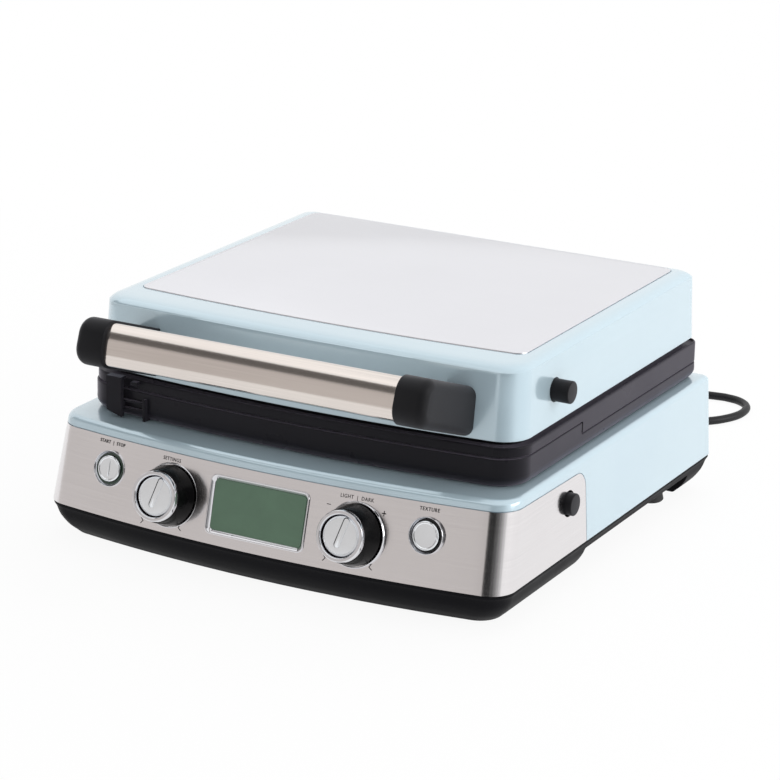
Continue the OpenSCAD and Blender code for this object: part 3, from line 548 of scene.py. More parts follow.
def new_material(name, **sockets):
    """A Principled BSDF material. Constants go straight onto its sockets."""
    material = bpy.data.materials.new(name)
    material.use_nodes = True
    tree = material.node_tree
    shader = tree.nodes["Principled BSDF"]
    feed(tree, shader, {key.replace("_", " "): value for key, value in sockets.items()})
    return material, tree, shader


def object_place(tree):
    """Coordinates that stay with the piece, in metres."""
    return add(tree, "TexCoord").outputs["Object"]


def srgb(red, green, blue):
    """An 8-bit colour as it looks, turned into the linear colour that shaders take."""
    def linear(value):
        value /= 255
        return value / 12.92 if value <= 0.04045 else ((value + 0.055) / 1.055) ** 2.4
    return (linear(red), linear(green), linear(blue), 1.0)


# Effects used by more than one material ---------------------------------------------------------

def brushed_group():
    """Long fine scratches left by a belt, and the cloudy patches between strokes."""
    tree, given, result = new_group(
        "brushed_lines",
        [("Place", "Vector", None), ("Stroke", "Vector", (14, 14, 2600)), ("Line Strength", "Float", 0.5),
         ("Cloud Size", "Float", 16.0)],
        ["Lines", "Clouds", "Tone"])
    stretched = add(tree, "VectorMath", {0: given["Place"], 1: given["Stroke"]}, operation="MULTIPLY").outputs[0]
    scratches = noise(tree, stretched, 1.0, 4.0, Roughness=0.7)
    clouds = noise(tree, given["Place"], given["Cloud Size"], 3.0)
    centred = sum_of(tree, "SUBTRACT", scratches, 0.5)
    lines = sum_of(tree, "MULTIPLY_ADD", centred, given["Line Strength"], 0.5)
    tone = sum_of(tree, "MULTIPLY_ADD", clouds, 0.35, lines)
    feed(tree, result, {"Lines": lines, "Clouds": clouds, "Tone": tone})
    return tree


def smudge_group():
    """Faint handling marks: wide soft patches and small specks of dust."""
    tree, given, result = new_group(
        "handling_marks",
        [("Place", "Vector", None), ("Patch Size", "Float", 22.0), ("Dust Size", "Float", 900.0)],
        ["Patches", "Dust"])
    patches = noise(tree, given["Place"], given["Patch Size"], 4.0, Roughness=0.55, Distortion=0.6)
    specks = add(tree, "TexVoronoi", {"Vector": given["Place"], "Scale": given["Dust Size"]})
    near = add(tree, "MapRange", {"Value": specks.outputs["Distance"], "From Min": 0.05, "From Max": 0.16,
                                  "To Min": 1.0, "To Max": 0.0}, interpolation_type="SMOOTHSTEP")
    feed(tree, result, {"Patches": patches, "Dust": near.outputs["Result"]})
    return tree


def grain_group():
    """The fine pebbled skin of moulded plastic and rubber."""
    tree, given, result = new_group(
        "moulded_grain", [("Place", "Vector", None), ("Grain Size", "Float", 2600.0)], ["Height", "Tone"])
    pebbles = add(tree, "TexVoronoi", {"Vector": given["Place"], "Scale": given["Grain Size"], "Smoothness": 0.6},
                  feature="SMOOTH_F1")
    wide = noise(tree, given["Place"], 30.0, 3.0)
    feed(tree, result, {"Height": pebbles.outputs["Distance"], "Tone": wide})
    return tree


# Materials --------------------------------------------------------------------------------------

def ranged(tree, value, low, high, from_low=0.3, from_high=0.7):
    """A value of the surface brought into a range."""
    return add(tree, "MapRange", {"Value": value, "From Min": from_low, "From Max": from_high,
                                  "To Min": low, "To Max": high}).outputs["Result"]


def between(tree, value, first, second):
    """A colour between two, chosen by a value of the surface."""
    return add(tree, "Mix", {"A": first, "B": second, "Factor": value}, data_type="RGBA").outputs["Result"]


def bumped(tree, height, strength, distance):
    sockets = {"Height": height, "Strength": strength, "Distance": distance * MM}
    return add(tree, "Bump", sockets).outputs["Normal"]


def paint_finish(marks, name, colour, deep):
    """Glossy enamel with a faint flow in its surface."""
    material, tree, shader = new_material(name, Metallic=0.3, Coat_Weight=1.0, Coat_Roughness=0.07, Coat_IOR=1.6)
    place = object_place(tree)
    patches = place_group(tree, marks, place, Patch_Size=9.0)["Patches"]
    flow = noise(tree, place, 260.0, 1.0)
    feed(tree, shader, {"Base Color": between(tree, ranged(tree, patches, 0.0, 1.0), colour, deep),
                        "Roughness": ranged(tree, patches, 0.17, 0.25), "Normal": bumped(tree, flow, 0.05, 0.05)})
    return material


def brushed_finish(brushed, name, light, dark, stroke, rough, strength, streak):
    """Belt-brushed steel. The stroke stretches the scratches along the sheet."""
    material, tree, shader = new_material(name, Metallic=1.0)
    group = place_group(tree, brushed, object_place(tree), Stroke=stroke, Line_Strength=streak, Cloud_Size=11.0)
    tone = ranged(tree, group["Tone"], 0.0, 1.0, 0.42, 0.92)
    feed(tree, shader, {"Base Color": between(tree, tone, dark, light),
                        "Roughness": ranged(tree, group["Lines"], *rough),
                        "Normal": bumped(tree, group["Lines"], strength, 0.02)})
    return material


def plain_metal(marks, name, light, dark, rough):
    """Turned or plated metal with slight handling marks."""
    material, tree, shader = new_material(name, Metallic=1.0)
    patches = place_group(tree, marks, object_place(tree), Patch_Size=60.0)["Patches"]
    feed(tree, shader, {"Base Color": between(tree, patches, dark, light), "Roughness": ranged(tree, patches, *rough)})
    return material


def moulded_finish(grain, name, colour, worn, rough, size=2600.0, bump=0.12, **more):
    """Moulded plastic or rubber with a fine pebbled skin."""
    material, tree, shader = new_material(name, **more)
    group = place_group(tree, grain, object_place(tree), Grain_Size=size)
    tone = ranged(tree, group["Tone"], 0.0, 1.0)
    feed(tree, shader, {"Base Color": between(tree, tone, colour, worn),
                        "Roughness": ranged(tree, group["Tone"], *rough),
                        "Normal": bumped(tree, group["Height"], bump, 0.05)})
    return material


def glass_finish(marks):
    """The display's tinted window, slightly cloudy."""
    material, tree, shader = new_material("display_window", Roughness=0.12, Coat_Weight=0.6, Coat_Roughness=0.03,
                                          Specular_IOR_Level=0.4)
    patches = place_group(tree, marks, object_place(tree), Patch_Size=26.0)["Patches"]
    tone = ranged(tree, patches, 0.0, 1.0, 0.35, 0.62)
    feed(tree, shader, {"Base Color": between(tree, tone, srgb(78, 108, 87), srgb(83, 114, 92))})
    return material


def board_finish(grain):
    """A circuit board's green lacquer with a faint pattern of tracks."""
    material, tree, shader = new_material("board_lacquer", Roughness=0.35, Coat_Weight=0.3)
    place = object_place(tree)
    tracks = add(tree, "TexBrick", {"Vector": place, "Scale": 120.0, "Color1": srgb(34, 92, 54),
                                    "Color2": srgb(30, 84, 50), "Mortar": srgb(58, 122, 74), "Mortar Size": 0.03},
                 offset=0.5, squash=1.0)
    height = place_group(tree, grain, place, Grain_Size=900.0)["Height"]
    feed(tree, shader, {"Base Color": tracks.outputs["Color"], "Normal": bumped(tree, height, 0.05, 0.03)})
    return material


def make_finishes():
    """Every material, by the record's slot or by the place where it is used."""
    lines, marks, grain = brushed_group(), smudge_group(), grain_group()
    return {
        "paint": paint_finish(marks, "pale_blue_enamel", srgb(191, 212, 222), srgb(188, 209, 220)),
        "panel": brushed_finish(lines, "panel_steel", srgb(236, 233, 234), srgb(220, 217, 218), (9, 9, 2400),
                                (0.12, 0.2), 0.08, 0.6),
        "top": brushed_finish(lines, "lid_steel", srgb(234, 234, 238), srgb(227, 227, 231), (7, 1500, 1500),
                              (0.3, 0.4), 0.06, 0.5),
        "tube": brushed_finish(lines, "tube_steel", srgb(229, 221, 215), srgb(209, 201, 195), (6, 1300, 1300),
                               (0.12, 0.18), 0.08, 0.6),
        "chrome": plain_metal(marks, "bright_chrome", srgb(226, 226, 229), srgb(212, 212, 216), (0.06, 0.12)),
        "satin": plain_metal(marks, "satin_metal", srgb(243, 247, 251), srgb(236, 240, 244), (0.2, 0.26)),
        "fixings": plain_metal(marks, "zinc_fixings", srgb(178, 178, 182), srgb(150, 150, 156), (0.3, 0.42)),
        "spring": plain_metal(marks, "spring_wire", srgb(150, 150, 154), srgb(126, 126, 132), (0.22, 0.32)),
        "reflector": plain_metal(marks, "reflector_sheet", srgb(196, 196, 200), srgb(176, 176, 182), (0.22, 0.36)),
        "sheath": plain_metal(marks, "heater_sheath", srgb(74, 68, 64), srgb(54, 50, 48), (0.42, 0.56)),
        "pan": moulded_finish(grain, "pan_plastic", srgb(17, 17, 20), srgb(21, 21, 24), (0.42, 0.5),
                              Specular_IOR_Level=0.05),
        "rubber": moulded_finish(grain, "foot_rubber", srgb(26, 26, 27), srgb(34, 34, 35), (0.65, 0.78), 1800.0, 0.25),
        "tray": moulded_finish(grain, "tray_plastic", srgb(13, 13, 16), srgb(17, 17, 20), (0.26, 0.36), 3600.0, 0.04,
                               Specular_IOR_Level=0.08, Sheen_Weight=0.45, Sheen_Tint=srgb(196, 188, 208)),
        "handle": moulded_finish(grain, "handle_plastic", srgb(22, 22, 24), srgb(27, 27, 29), (0.4, 0.5),
                                 Specular_IOR_Level=0.08, Sheen_Weight=0.22, Sheen_Tint=srgb(196, 196, 204)),
        "dial": moulded_finish(grain, "dial_black", srgb(6, 6, 7), srgb(8, 8, 9), (0.2, 0.3), 4000.0, 0.02,
                               Specular_IOR_Level=0.1),
        "hinge": moulded_finish(grain, "hinge_plastic", srgb(34, 34, 37), srgb(42, 42, 45), (0.4, 0.5)),
        "lens": moulded_finish(grain, "lens_green", srgb(16, 44, 32), srgb(22, 56, 40), (0.1, 0.16), 3000.0, 0.02,
                               Coat_Weight=0.5),
        "glass": glass_finish(marks),
        "module": moulded_finish(grain, "display_module", srgb(206, 208, 206), srgb(190, 193, 190), (0.4, 0.5)),
        "board": board_finish(grain),
        "mould": moulded_finish(grain, "mould_coating", srgb(52, 53, 55), srgb(64, 65, 67), (0.36, 0.46), 2400.0, 0.2,
                                Metallic=0.35),
        "cord": moulded_finish(grain, "cord_sheath", srgb(20, 20, 22), srgb(26, 26, 28), (0.4, 0.5), 2200.0, 0.1,
                               Specular_IOR_Level=0.3),
        "ink": moulded_finish(grain, "printed_ink", srgb(18, 17, 17), srgb(26, 25, 25), (0.5, 0.62), 5200.0, 0.05,
                              Specular_IOR_Level=0.2),
    }


NODES_IN = {
    "rubber": "rubber_feet texture_gasket cord_tie",
    "fixings": "pan_screws dial_encoders lower_plate_hooks lower_release_guide upper_plate_hooks upper_release_guide "
               "handle_screws hinge_screws",
    "module": "lcd_module",
    "lens": "start_lens",
    "pan": "button_switches",
    "board": "control_boards power_board",
    "reflector": "heat_shield lower_reflector lower_sensor upper_reflector upper_sensor",
    "sheath": "lower_heater upper_heater",
    "mould": "lower_waffle_plate upper_waffle_plate",
    "hinge": "hinge_towers hinge_arms",
    "chrome": "hinge_pins",
    "cord": "cord_gland mains_plug",
    "tray": "lid_lock",
}


def finish_nodes(finish):
    """Gives every CAD node a finish in place of its plain colour."""
    finish_of = {node: name for name, nodes in NODES_IN.items() for node in nodes.split()}
    for node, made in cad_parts.items():
        material = finish[finish_of.get(node, "pan")]
        if not made.data.materials:
            made.data.materials.append(material)
        for i in range(len(made.data.materials)):
            made.data.materials[i] = material


# Base -------------------------------------------------------------------------------------------

def panel_side(grow=0.0):
    """The steel panel seen from the side, as (y, z) points."""
    r, y, z = 13 + grow, -48 + grow, PANEL_TOP + grow
    corner = arc((y - r, z - r - 2.2), r, 0, 90, 12)
    return [(-262, PANEL_FOOT - 1), (y, PANEL_FOOT - 1), *corner, (BASE_FRONT, z), (-262, z)]


def panel_core(name="panel_core"):
    """What lies behind the steel panel."""
    return loft(name, [base_ring(PANEL_FOOT - 3, 1.2), base_ring(PANEL_TOP + 3, 1.2)])


def make_housing(finish):
    """The painted base: straight walls, a round upper edge and the deck with its opening."""
    hole = [(x, y + PLATE_Y) for x, y in outline(158, -134, 134, 0, 14, 14)]
    shoulder = [(88 + 4 * math.sin(math.radians(a)), 4 - 4 * math.cos(math.radians(a))) for a in range(0, 91, 15)]
    rings = [base_ring(PANEL_FOOT), base_ring(60)] + [base_ring(z, inset) for z, inset in shoulder]
    rings += [ring(DECK, hole), ring(DECK - 2, hole)]
    rings += [base_ring(z, inset) for z, inset in ((DECK - 2, 6), (87, 2), (PANEL_FOOT, 2))]
    housing = joined_ends("base_body", rings)
    recess = carved(across("recess", panel_side(0.7), -200, 200), [panel_core()])
    window = slab("window", 160, 45, 4, -185, PANEL_FOOT + 6, PANEL_FOOT + 50)
    carved(housing, [recess, window, bar_x("bore", 150, 210, RELEASE_Y, RELEASE_Z[0], 10.5),
                     lathe("cord_hole", [(0, 0), (7, 0), (7, 16), (0, 16)], facing_back(70, 173, 36))])
    shade(housing, 30)
    dress(housing, "base", finish["paint"], "housing_paint", "base_housing")


def facing_back(x, y, z):
    """A place whose axis points to the rear."""
    return Matrix.Translation((x, y, z)) @ Matrix.Rotation(-math.pi / 2, 4, "X")


def panel_skin(inset=0.0):
    """The solid under the panel's face, for trimming what stands on it."""
    return loft("panel_skin", [base_ring(PANEL_FOOT - 1, inset), base_ring(PANEL_TOP + 3, inset)])


def make_panel(finish):
    """The steel panel, wrapped round both front corners, with its holes."""
    panel = carved(loft("front_panel", [base_ring(PANEL_FOOT + 0.1), base_ring(PANEL_TOP + 2)]), [panel_core()])
    carved(panel, [across("panel_edge", panel_side(), -200, 200)], "INTERSECT")
    holes = [lathe("hole", [(0, -10), (r, -10), (r, 10), (0, 10)], on_panel(x, v), steps=64)
             for x, v, r in ((-DIAL_X, DIAL_V, 6), (DIAL_X, DIAL_V, 6), (START_X, BUTTON_V, 12.7),
                             (TEXTURE_X, BUTTON_V, 12.7))]
    holes.append(loft("lcd_hole", [display_section(2, height, 3) for height in (-6, 6)]))
    holes.append(bar_x("button_hole", 150, 210, RELEASE_Y, RELEASE_Z[0], 9.8))
    carved(panel, holes)
    shade(panel, 30)
    dress(panel, "base", finish["panel"], "brushed_steel", "control_panel")


def arch(grow=0.0):
    """The cut-away under the sides, as (y, z) points."""
    return [(-47 - grow, -2.5), (-43 - grow, 19.5 + grow), (142 + grow, 19.5 + grow), (146 + grow, -2.5)]


def make_pan(finish):
    """The dark tub under the base: it draws in towards the floor and arches over the sides."""
    rows = eased([(2.5, 12.0), (4.5, 10.4), (9.0, 6.7), (16.0, 3.2), (23.0, 1.4), (25.5, 0.4), (PANEL_FOOT, 0.4)],
                 [2, 3, 3, 3, 3, 1])
    pan = loft("base_tub", [pan_ring(z, drop) for z, drop in rows])
    inside = ((5.0, 10.0), (9.0, 6.7), (16.0, 3.2), (23.0, 1.4), (PANEL_FOOT + 1, 0.4))
    hollow = carved(loft("hollow", [pan_ring(z, drop, 3) for z, drop in inside]),
                    [across("inner_arch", arch(2.5), -380, 380)])
    carved(pan, [across("outer_arch", arch(), -380, 380), hollow])
    screw_hole = [(0, 0), (4.2, 0), (4.2, 5), (1.9, 5), (1.9, 20), (0, 20)]
    carved(pan, upright("screw_hole", screw_hole, [(x, y) for x in (-120, 0, 120) for y in (-110, 157)]))
    softened(pan, 0.8, 3, 30)
    shade(pan, 32, weighted=True)
    dress(pan, "base", finish["pan"], "pan_plastic", "base_pan")


# Trays ------------------------------------------------------------------------------------------

def plate_openings(low, high):
    """What a mould plate and its latch reach through in a tray's floor."""
    latch_way = slab("latch_way", 9, 9, 1, RELEASE_Y, low, high)
    for vertex in latch_way.data.vertices:
        vertex.co.x += 151 * MM
    return [slab("opening", 134, 134, 10, PLATE_Y, low, high), latch_way]


def make_lower_tray(finish):
    """The lower ring round the moulds, higher in front of the step."""
    rows = eased([(92.0, 4.5), (94.0, 2.0), (98.0, 0.0), (103.0, 0.0), (113.15, 0.0)], [2, 3, 2, 2])
    tray = loft("lower_tray_ring", [tray_ring(z, inset) for z, inset in rows])
    carved(tray, [loft("inside", [tray_ring(96, TRAY_WALL), tray_ring(115, TRAY_WALL)]),
                  across("step", [(-37.35, 104.35), (230, 104.35), (230, 150), (-37.35, 150)], *SIDES),
                  *plate_openings(91, 101)])
    softened(tray, 0.7, 3)
    shade(tray, 35, weighted=True)
    posts = upright("post", [(0, 96), (5, 96), (5, 104.3), (4.5, 104.8), (0, 104.8)], POST_PLACES)
    rails = [block("rail", -152, -122.5, -149.6, -142.5, z, z + 1.6) for z in (98.5, 104.5)]
    rails.append(block("stop", -124.8, -122.4, -151, -142.5, 92, 109))
    join(tray, [softened(r, 0.35) for r in rails] + posts)
    dress(tray, "base", finish["tray"], "tray_plastic", "lower_tray")


def block(name, x0, x1, y0, y1, z0, z1):
    return across(name, [(y0, z0), (y1, z0), (y1, z1), (y0, z1)], x0, x1)


def join(piece, others):
    """Adds other meshes to a piece."""
    with editing(piece) as work:
        for other in others:
            work.from_mesh(other.data)
            bpy.data.objects.remove(other)


def neck_of(name, low, high):
    """The neck between the upper ring and the lid."""
    return loft(name, [lid_ring(z, *NECK, 6) for z in (low, high)])


def make_upper_tray(finish):
    """The upper ring, which follows the step, and its neck under the lid."""
    rows = eased([(105.1, 0.0), (112.0, 0.0), (119.5, 0.0), (120.9, 0.3), (121.5, 1.0)], [2, 2, 2, 2])
    tray = loft("upper_tray_ring", [tray_ring(z, inset, TRAY_GAP) for z, inset in rows])
    neck = neck_of("neck", 120.5, 124.3)
    groove = carved(loft("groove", [tray_ring(z, 1.3, TRAY_GAP) for z in (120.1, 123)]), [neck_of("core", 119, 124)])
    carved(tray, [groove])
    carved(tray, [neck], "UNION")
    carved(tray, [loft("inside", [tray_ring(z, TRAY_WALL, TRAY_GAP) for z in (103, 119.5)]),
                  across("front_step", [(-260, 90), (-36.4, 90), (-36.4, 113.9), (-260, 113.9)], *SIDES),
                  *plate_openings(117, 130)])
    softened(tray, 0.7, 3)
    shade(tray, 35, weighted=True)
    posts = upright("post", [(0, 111.2), (4.5, 111.2), (5, 111.7), (5, 119.6), (0, 119.6)], POST_PLACES)
    keeper = softened(block("keeper", -136.5, -130.5, -149.2, -142.7, 118, 120.6), 0.35)
    join(tray, posts + [keeper])
    dress(tray, "lid", finish["tray"], "tray_plastic", "upper_tray")


# Lid --------------------------------------------------------------------------------------------

LID_ROWS = [(124.3, *NECK), (146, 176.4, -132.8, 172, 7.4, 21, 7),
            (170.2, 175.5, -131, 172, 4, 20, 7), (173, 174.9, -130.4, 171.4, 4, 19.6, 7),
            (175, 173.1, -128.6, 170.2, 4, 18.6, 7), (176.5, 170.1, -125.4, 168.2, 4, 16.6, 7),
            (177.2, 165.5, -120, 165.8, 4, 13, 7)]


def lid_skin(name):
    """The lid's outside as a closed solid."""
    return loft(name, [lid_ring(*row) for row in eased(LID_ROWS, [4, 5, 3, 3, 3, 3])])


def make_lid(finish):
    """The painted lid with the recess for its steel top."""
    lid = lid_skin("lid_cover")
    cavity = loft("cavity", [lid_ring(*row, 2.4) for row in (
        (123, *NECK), (146, 176.4, -132.8, 172, 7.4, 21, 7), (168, 175.1, -131, 172, 4, 20, 7),
        (174, 170.5, -126.4, 169, 4, 17, 7))])
    recess = loft("plate_recess", [lid_ring(z, 161.6, -98, 163.9, 7, 8, 8) for z in (176.2, 181)])
    tools = [cavity, recess, bar_x("bore", 150, 210, RELEASE_Y, RELEASE_Z[1], 9)]
    hinge_hole = [(0, 0), (2.1, 0), (2.1, 12), (0, 12)]
    handle_hole = [(0, -6), (2.1, -6), (2.1, 0), (4.6, 0), (4.6, 6), (0, 6)]
    for side in (-1, 1):
        places = [(hinge_hole, 105, 166, 136), (hinge_hole, 105, 166, 152),
                  (handle_hole, 131, -136.6, 133), (handle_hole, 131, -134, 149)]
        tools += [lathe("screw_hole", profile, facing_back(side * x, y, z), steps=32) for profile, x, y, z in places]
    carved(lid, tools)
    shade(lid, 30)
    dress(lid, "lid", finish["paint"], "housing_paint", "lid_shell")


def make_top_plate(finish):
    """The flat steel top: a sheet with a fine chamfered edge."""
    rows = [(176.2, 0.0), (177.6, 0.0), (177.85, 0.12), (178.0, 0.4)]
    plate = loft("lid_top_plate", [ring(z, outline(160.9 - d, -97.3 + d, 163.2 - d, 7, 7.6 - d, 7.6 - d))
                                   for z, d in rows])
    shade(plate, 30)
    dress(plate, "lid", finish["top"], "brushed_steel", "lid_plate")


# Handle -----------------------------------------------------------------------------------------

def on_arm(along, up):
    """A point of the handle's own side plan, as (y, z)."""
    return (TUBE[0] + along * math.cos(ARM_TILT) - up * math.sin(ARM_TILT),
            TUBE[1] + along * math.sin(ARM_TILT) + up * math.cos(ARM_TILT))


def arm_outline(inset):
    """An arm seen from the side, round at the front, running back into the lid."""
    r, half, front, length = 13.0, 17.6, 13.0, 84.0
    points = [(length, half - inset), (length, inset - half)]
    for sign, start in ((-1, 270), (1, 180)):
        points += arc((r - front, sign * (half - r)), r - inset, start, start - 90, 10)
    return [on_arm(*p) for p in points]


def make_handle(finish):
    """Two moulded arms and the oval steel tube between them."""
    for side, name in ((-1, "left"), (1, "right")):
        rows = [(0.0, 0.5), (0.2, 0.15), (0.6, 0.0), (17.0, 0.0)]
        rows += [(17.0 + 7.0 * math.sin(math.radians(a)), 7.0 - 7.0 * math.cos(math.radians(a)))
                 for a in range(10, 91, 10)]
        rings = [[(side * (GRIP_HALF + x), y, z) for y, z in arm_outline(inset)] for x, inset in rows]
        arm = loft("handle_arm_" + name, rings)
        tube = across("socket", [on_arm(x, y) for x, y in oval(TUBE_SIZE[0] + 0.1, TUBE_SIZE[1] + 0.1)],
                      *sorted((side * (GRIP_HALF - 1), side * (GRIP_HALF + 7))))
        carved(arm, [lid_skin("lid_skin"), tube, block("under", -200, 200, -170, -110, 0, 124.3)])
        shade(arm, 40)
        dress(arm, "lid", finish["handle"], "handle_plastic", "handle_arms")
    grip = loft("handle_grip", [[(x, *on_arm(a, b)) for a, b in oval(*TUBE_SIZE)]
                                 for x in (-GRIP_HALF - 6.5, GRIP_HALF + 6.5)])
    shade(grip, 40)
    dress(grip, "lid", finish["tube"], "brushed_steel", "handle_tube")


def oval(width, height, steps=72):
    """The grip tube's section: an oval with fuller sides than an ellipse."""
    def full(value):
        return math.copysign(abs(value) ** 0.86, value)

    turns = [2 * math.pi * (i + 0.5) / steps for i in range(steps)]
    return [(width / 2 * full(math.cos(a)), height / 2 * full(math.sin(a))) for a in turns]


# Controls ---------------------------------------------------------------------------------------

def make_dial(finish, name, x, body):
    """A dial: a black drum, a bright bezel ring and a sunk satin face with a pointer let into it."""
    place = on_panel(x, DIAL_V)
    r, out = DIAL_R, DIAL_OUT
    drum = filleted([(0, 4), (4, 4), (r + 3.3, 2.4), (r + 3.6, 3.4), (r + 0.4, out - 4), (r - 4.3, out - 4),
                     (r - 4.3, out - 5), (0, out - 5)], [0, 0, 0.5, 0.5, 0.4, 0, 0, 0])
    piece = shade(lathe(name + "_drum", drum, place), 30)
    dress(piece, body, finish["dial"], "dial_black", name + "_knob")
    bezel = filleted([(r - 3.4, out - 4.2), (r + 0.1, out - 4), (r, out - 2.2), (r - 0.4, out - 0.6),
                      (r - 0.9, out - 0.05), (r - 2.7, out - 0.05), (r - 3.2, out - 0.5), (r - 3.4, out - 1.2)],
                     [0, 0.3, 0.6, 0.5, 0.4, 0.4, 0.3, 0.2], closed=True)
    piece = shade(lathe(name + "_ring", bezel, place, closed=True), 60)
    dress(piece, body, finish["chrome"], "chrome", name + "_bezel")
    face = filleted([(0, out - 5.2), (r - 4.25, out - 5.2), (r - 4.25, out - 3.1), (r - 4.9, out - 2.4),
                     (r - 5.3, out - 2.5), (r - 5.5, out - 2.8), (r - 5.8, out - 2.8), (r - 6, out - 2.5),
                     (0, out - 2.5)],
                    [0, 0, 0.3, 0.3, 0.1, 0, 0, 0.1, 0])
    piece = lathe(name + "_face", face, place)
    turned = place @ Matrix.Rotation(math.radians(-16), 4, "Z")
    carved(piece, [bar_on(turned @ Matrix.Translation((-0.3, 0, 0)), 2.45, -8.9, 11.8, out - 5.8, out - 1)])
    bar = bar_on(turned, 2.1, -8.8, 11.7, out - 5.2, out - 2.2)
    join(piece, [bar, lathe("shaft", [(0, -6.5), (3, -6.5), (3, out - 5), (0, out - 5)], place, steps=48)])
    shade(piece, 30)
    dress(piece, body, finish["satin"], "satin_metal", name + "_cap")


def bar_on(place, half, low, high, h0, h1):
    """A pointer bar on a control's face, round at both ends."""
    points = [(half, high), *[(x, y) for x, y in arc((0, high), half, 0, 180, 8)][1:-1], (-half, high),
              *arc((0, low + half), half, 180, 360, 10)]
    rings = []
    for h, d in ((h0, 0.0), (h1 - 0.3, 0.0), (h1 - 0.08, 0.12), (h1, 0.4)):
        shrink = (half - d) / half
        rings.append([place @ Vector((x * shrink, y if abs(y) < 5 else y - math.copysign(d, y), h)) for x, y in points])
    return loft("bar", rings)


def make_button(finish, name, x, radius):
    """A push button's satin face."""
    place = on_panel(x, BUTTON_V)
    profile = filleted([(0, -6.6), (3, -6.6), (3, -0.2), (radius, -0.2), (radius, 1.7), (radius - 0.6, 2.3),
                        (radius - 1.4, 2.3), (radius - 1.9, 2.0), (0, 2.0)], [0, 0, 0, 0.1, 0.3, 0.3, 0.2, 0.2, 0])
    piece = lathe(name + "_face", profile, place)
    if name == "start_button":
        join(piece, [bar_on(place, 0.7, -5.6, 5.2, 1.8, 2.5)])
    shade(piece, 30)
    dress(piece, name.split("_")[0], finish["satin"], "satin_metal", name)


def trimmed_ring(name, profile, radii, place, steps=96):
    """A closed ring on the panel, cut along the panel's bow."""
    ring_piece = lathe(name, filleted(profile, radii, closed=True), place, closed=True, steps=steps)
    return carved(ring_piece, [panel_skin()])


def make_rings(finish):
    """The plated rings round the dials and the two buttons, trimmed to the bowed panel."""
    dial_rim = [(22.7, -4), (24, -4), (24, 0.3), (23.4, 1.3), (23.1, 1.3), (22.7, 0.9)]
    button_rim = [(12.5, -3), (13.5, -3), (13.5, 1.6), (13.3, 1.9), (13, 1.9), (12.5, 1.3)]
    for name, x in (("settings", -DIAL_X), ("shade", DIAL_X)):
        collar = trimmed_ring(name + "_collar", dial_rim, [0, 0, 0.2, 0.3, 0.3, 0.2], on_panel(x, DIAL_V), 128)
        shade(collar, 50)
        dress(collar, "base", finish["chrome"], "chrome", "dial_collars")
    for name, x in (("start", START_X), ("texture", TEXTURE_X)):
        place = on_panel(x, BUTTON_V)
        rim = trimmed_ring("flange", button_rim, [0, 0, 0.2, 0.2, 0.2, 0], place)
        sleeve = filleted([(11.6, -4), (12.5, -4), (12.5, 1.3), (11.6, 0.2)], [0, 0, 0, 0.3], closed=True)
        collar = lathe(name + "_collar", sleeve, place, closed=True)
        join(collar, [rim])
        shade(collar, 50)
        dress(collar, "base", finish["chrome"], "chrome", "button_rings")


def display_section(grow, height, radius):
    """A rounded outline round the display, at a height over the panel's face."""
    place = on_panel(LCD_X, LCD_V)
    points = rounded_rectangle(LCD_HALF[0] + grow, LCD_HALF[1] + grow, radius)
    return [place @ Vector((x, y, height)) for x, y in points]


def make_display(finish):
    """The display's thin rim, its walls that slope in, and the window at their foot."""
    rows = [(1.9, -5.0, 4.4), (1.9, -1.0, 4.4), (2.6, -1.0, 5.0), (2.6, 0.2, 5.0), (2.45, 0.4, 4.9), (2.2, 0.45, 4.7),
            (1.8, 0.45, 4.4), (1.6, 0.4, 4.3), (1.35, 0.2, 4.2), (-0.5, LCD_GLASS, 3.1), (-0.6, LCD_GLASS - 0.2, 3.0),
            (-0.6, -5.0, 3.0)]
    bezel = joined_ends("display_frame", [display_section(*row) for row in rows])
    carved(bezel, [panel_skin(0.02)])
    inner = rows[:2] + [(1.9, 0.0, 4.4), (1.2, 0.0, 4.1)] + rows[9:]
    join(bezel, [joined_ends("walls", [display_section(*row) for row in inner])])
    shade(bezel, 40)
    dress(bezel, "base", finish["chrome"], "chrome", "lcd_bezel")
    window = loft("display_window", [display_section(-0.65, LCD_GLASS - depth, 2.9) for depth in (1.2, 0)])
    shade(window, 30)
    dress(window, "base", finish["glass"], "display_glass", "lcd_glass")


def make_release(finish, name, z, face, wall):
    """A plate-release button: a moulded cap with a soft front edge, its flange and its latch."""
    turn = Matrix.Translation((0, RELEASE_Y, z)) @ Matrix.Rotation(math.pi / 2, 4, "Y")
    profile = filleted([(0, 119), (2.4, 119), (2.4, 150.4), (4, 150.4), (4, wall - 2.2), (12, wall - 2.2),
                        (12, wall - 0.4), (8.3, wall - 0.4), (8.3, face), (0, face)],
                       [0, 0.3, 0, 0, 0, 0.3, 0.3, 0, 1.1, 0])
    cap = lathe(name + "_cap", profile, turn, steps=72)
    latch = eased_copy(name + "_button", "latch", 0.3)
    keep_left_of(latch, 157 * MM)
    join(cap, [latch])
    shade(cap, 35)
    dress(cap, name, finish["handle"], "handle_plastic", name + "_button")


def keep_left_of(piece, limit):
    """Keeps the part of a piece whose faces all lie left of a limit."""
    with editing(piece) as work:
        gone = [f for f in work.faces if max(v.co.x for v in f.verts) > limit]
        bmesh.ops.delete(work, geom=gone, context="FACES")


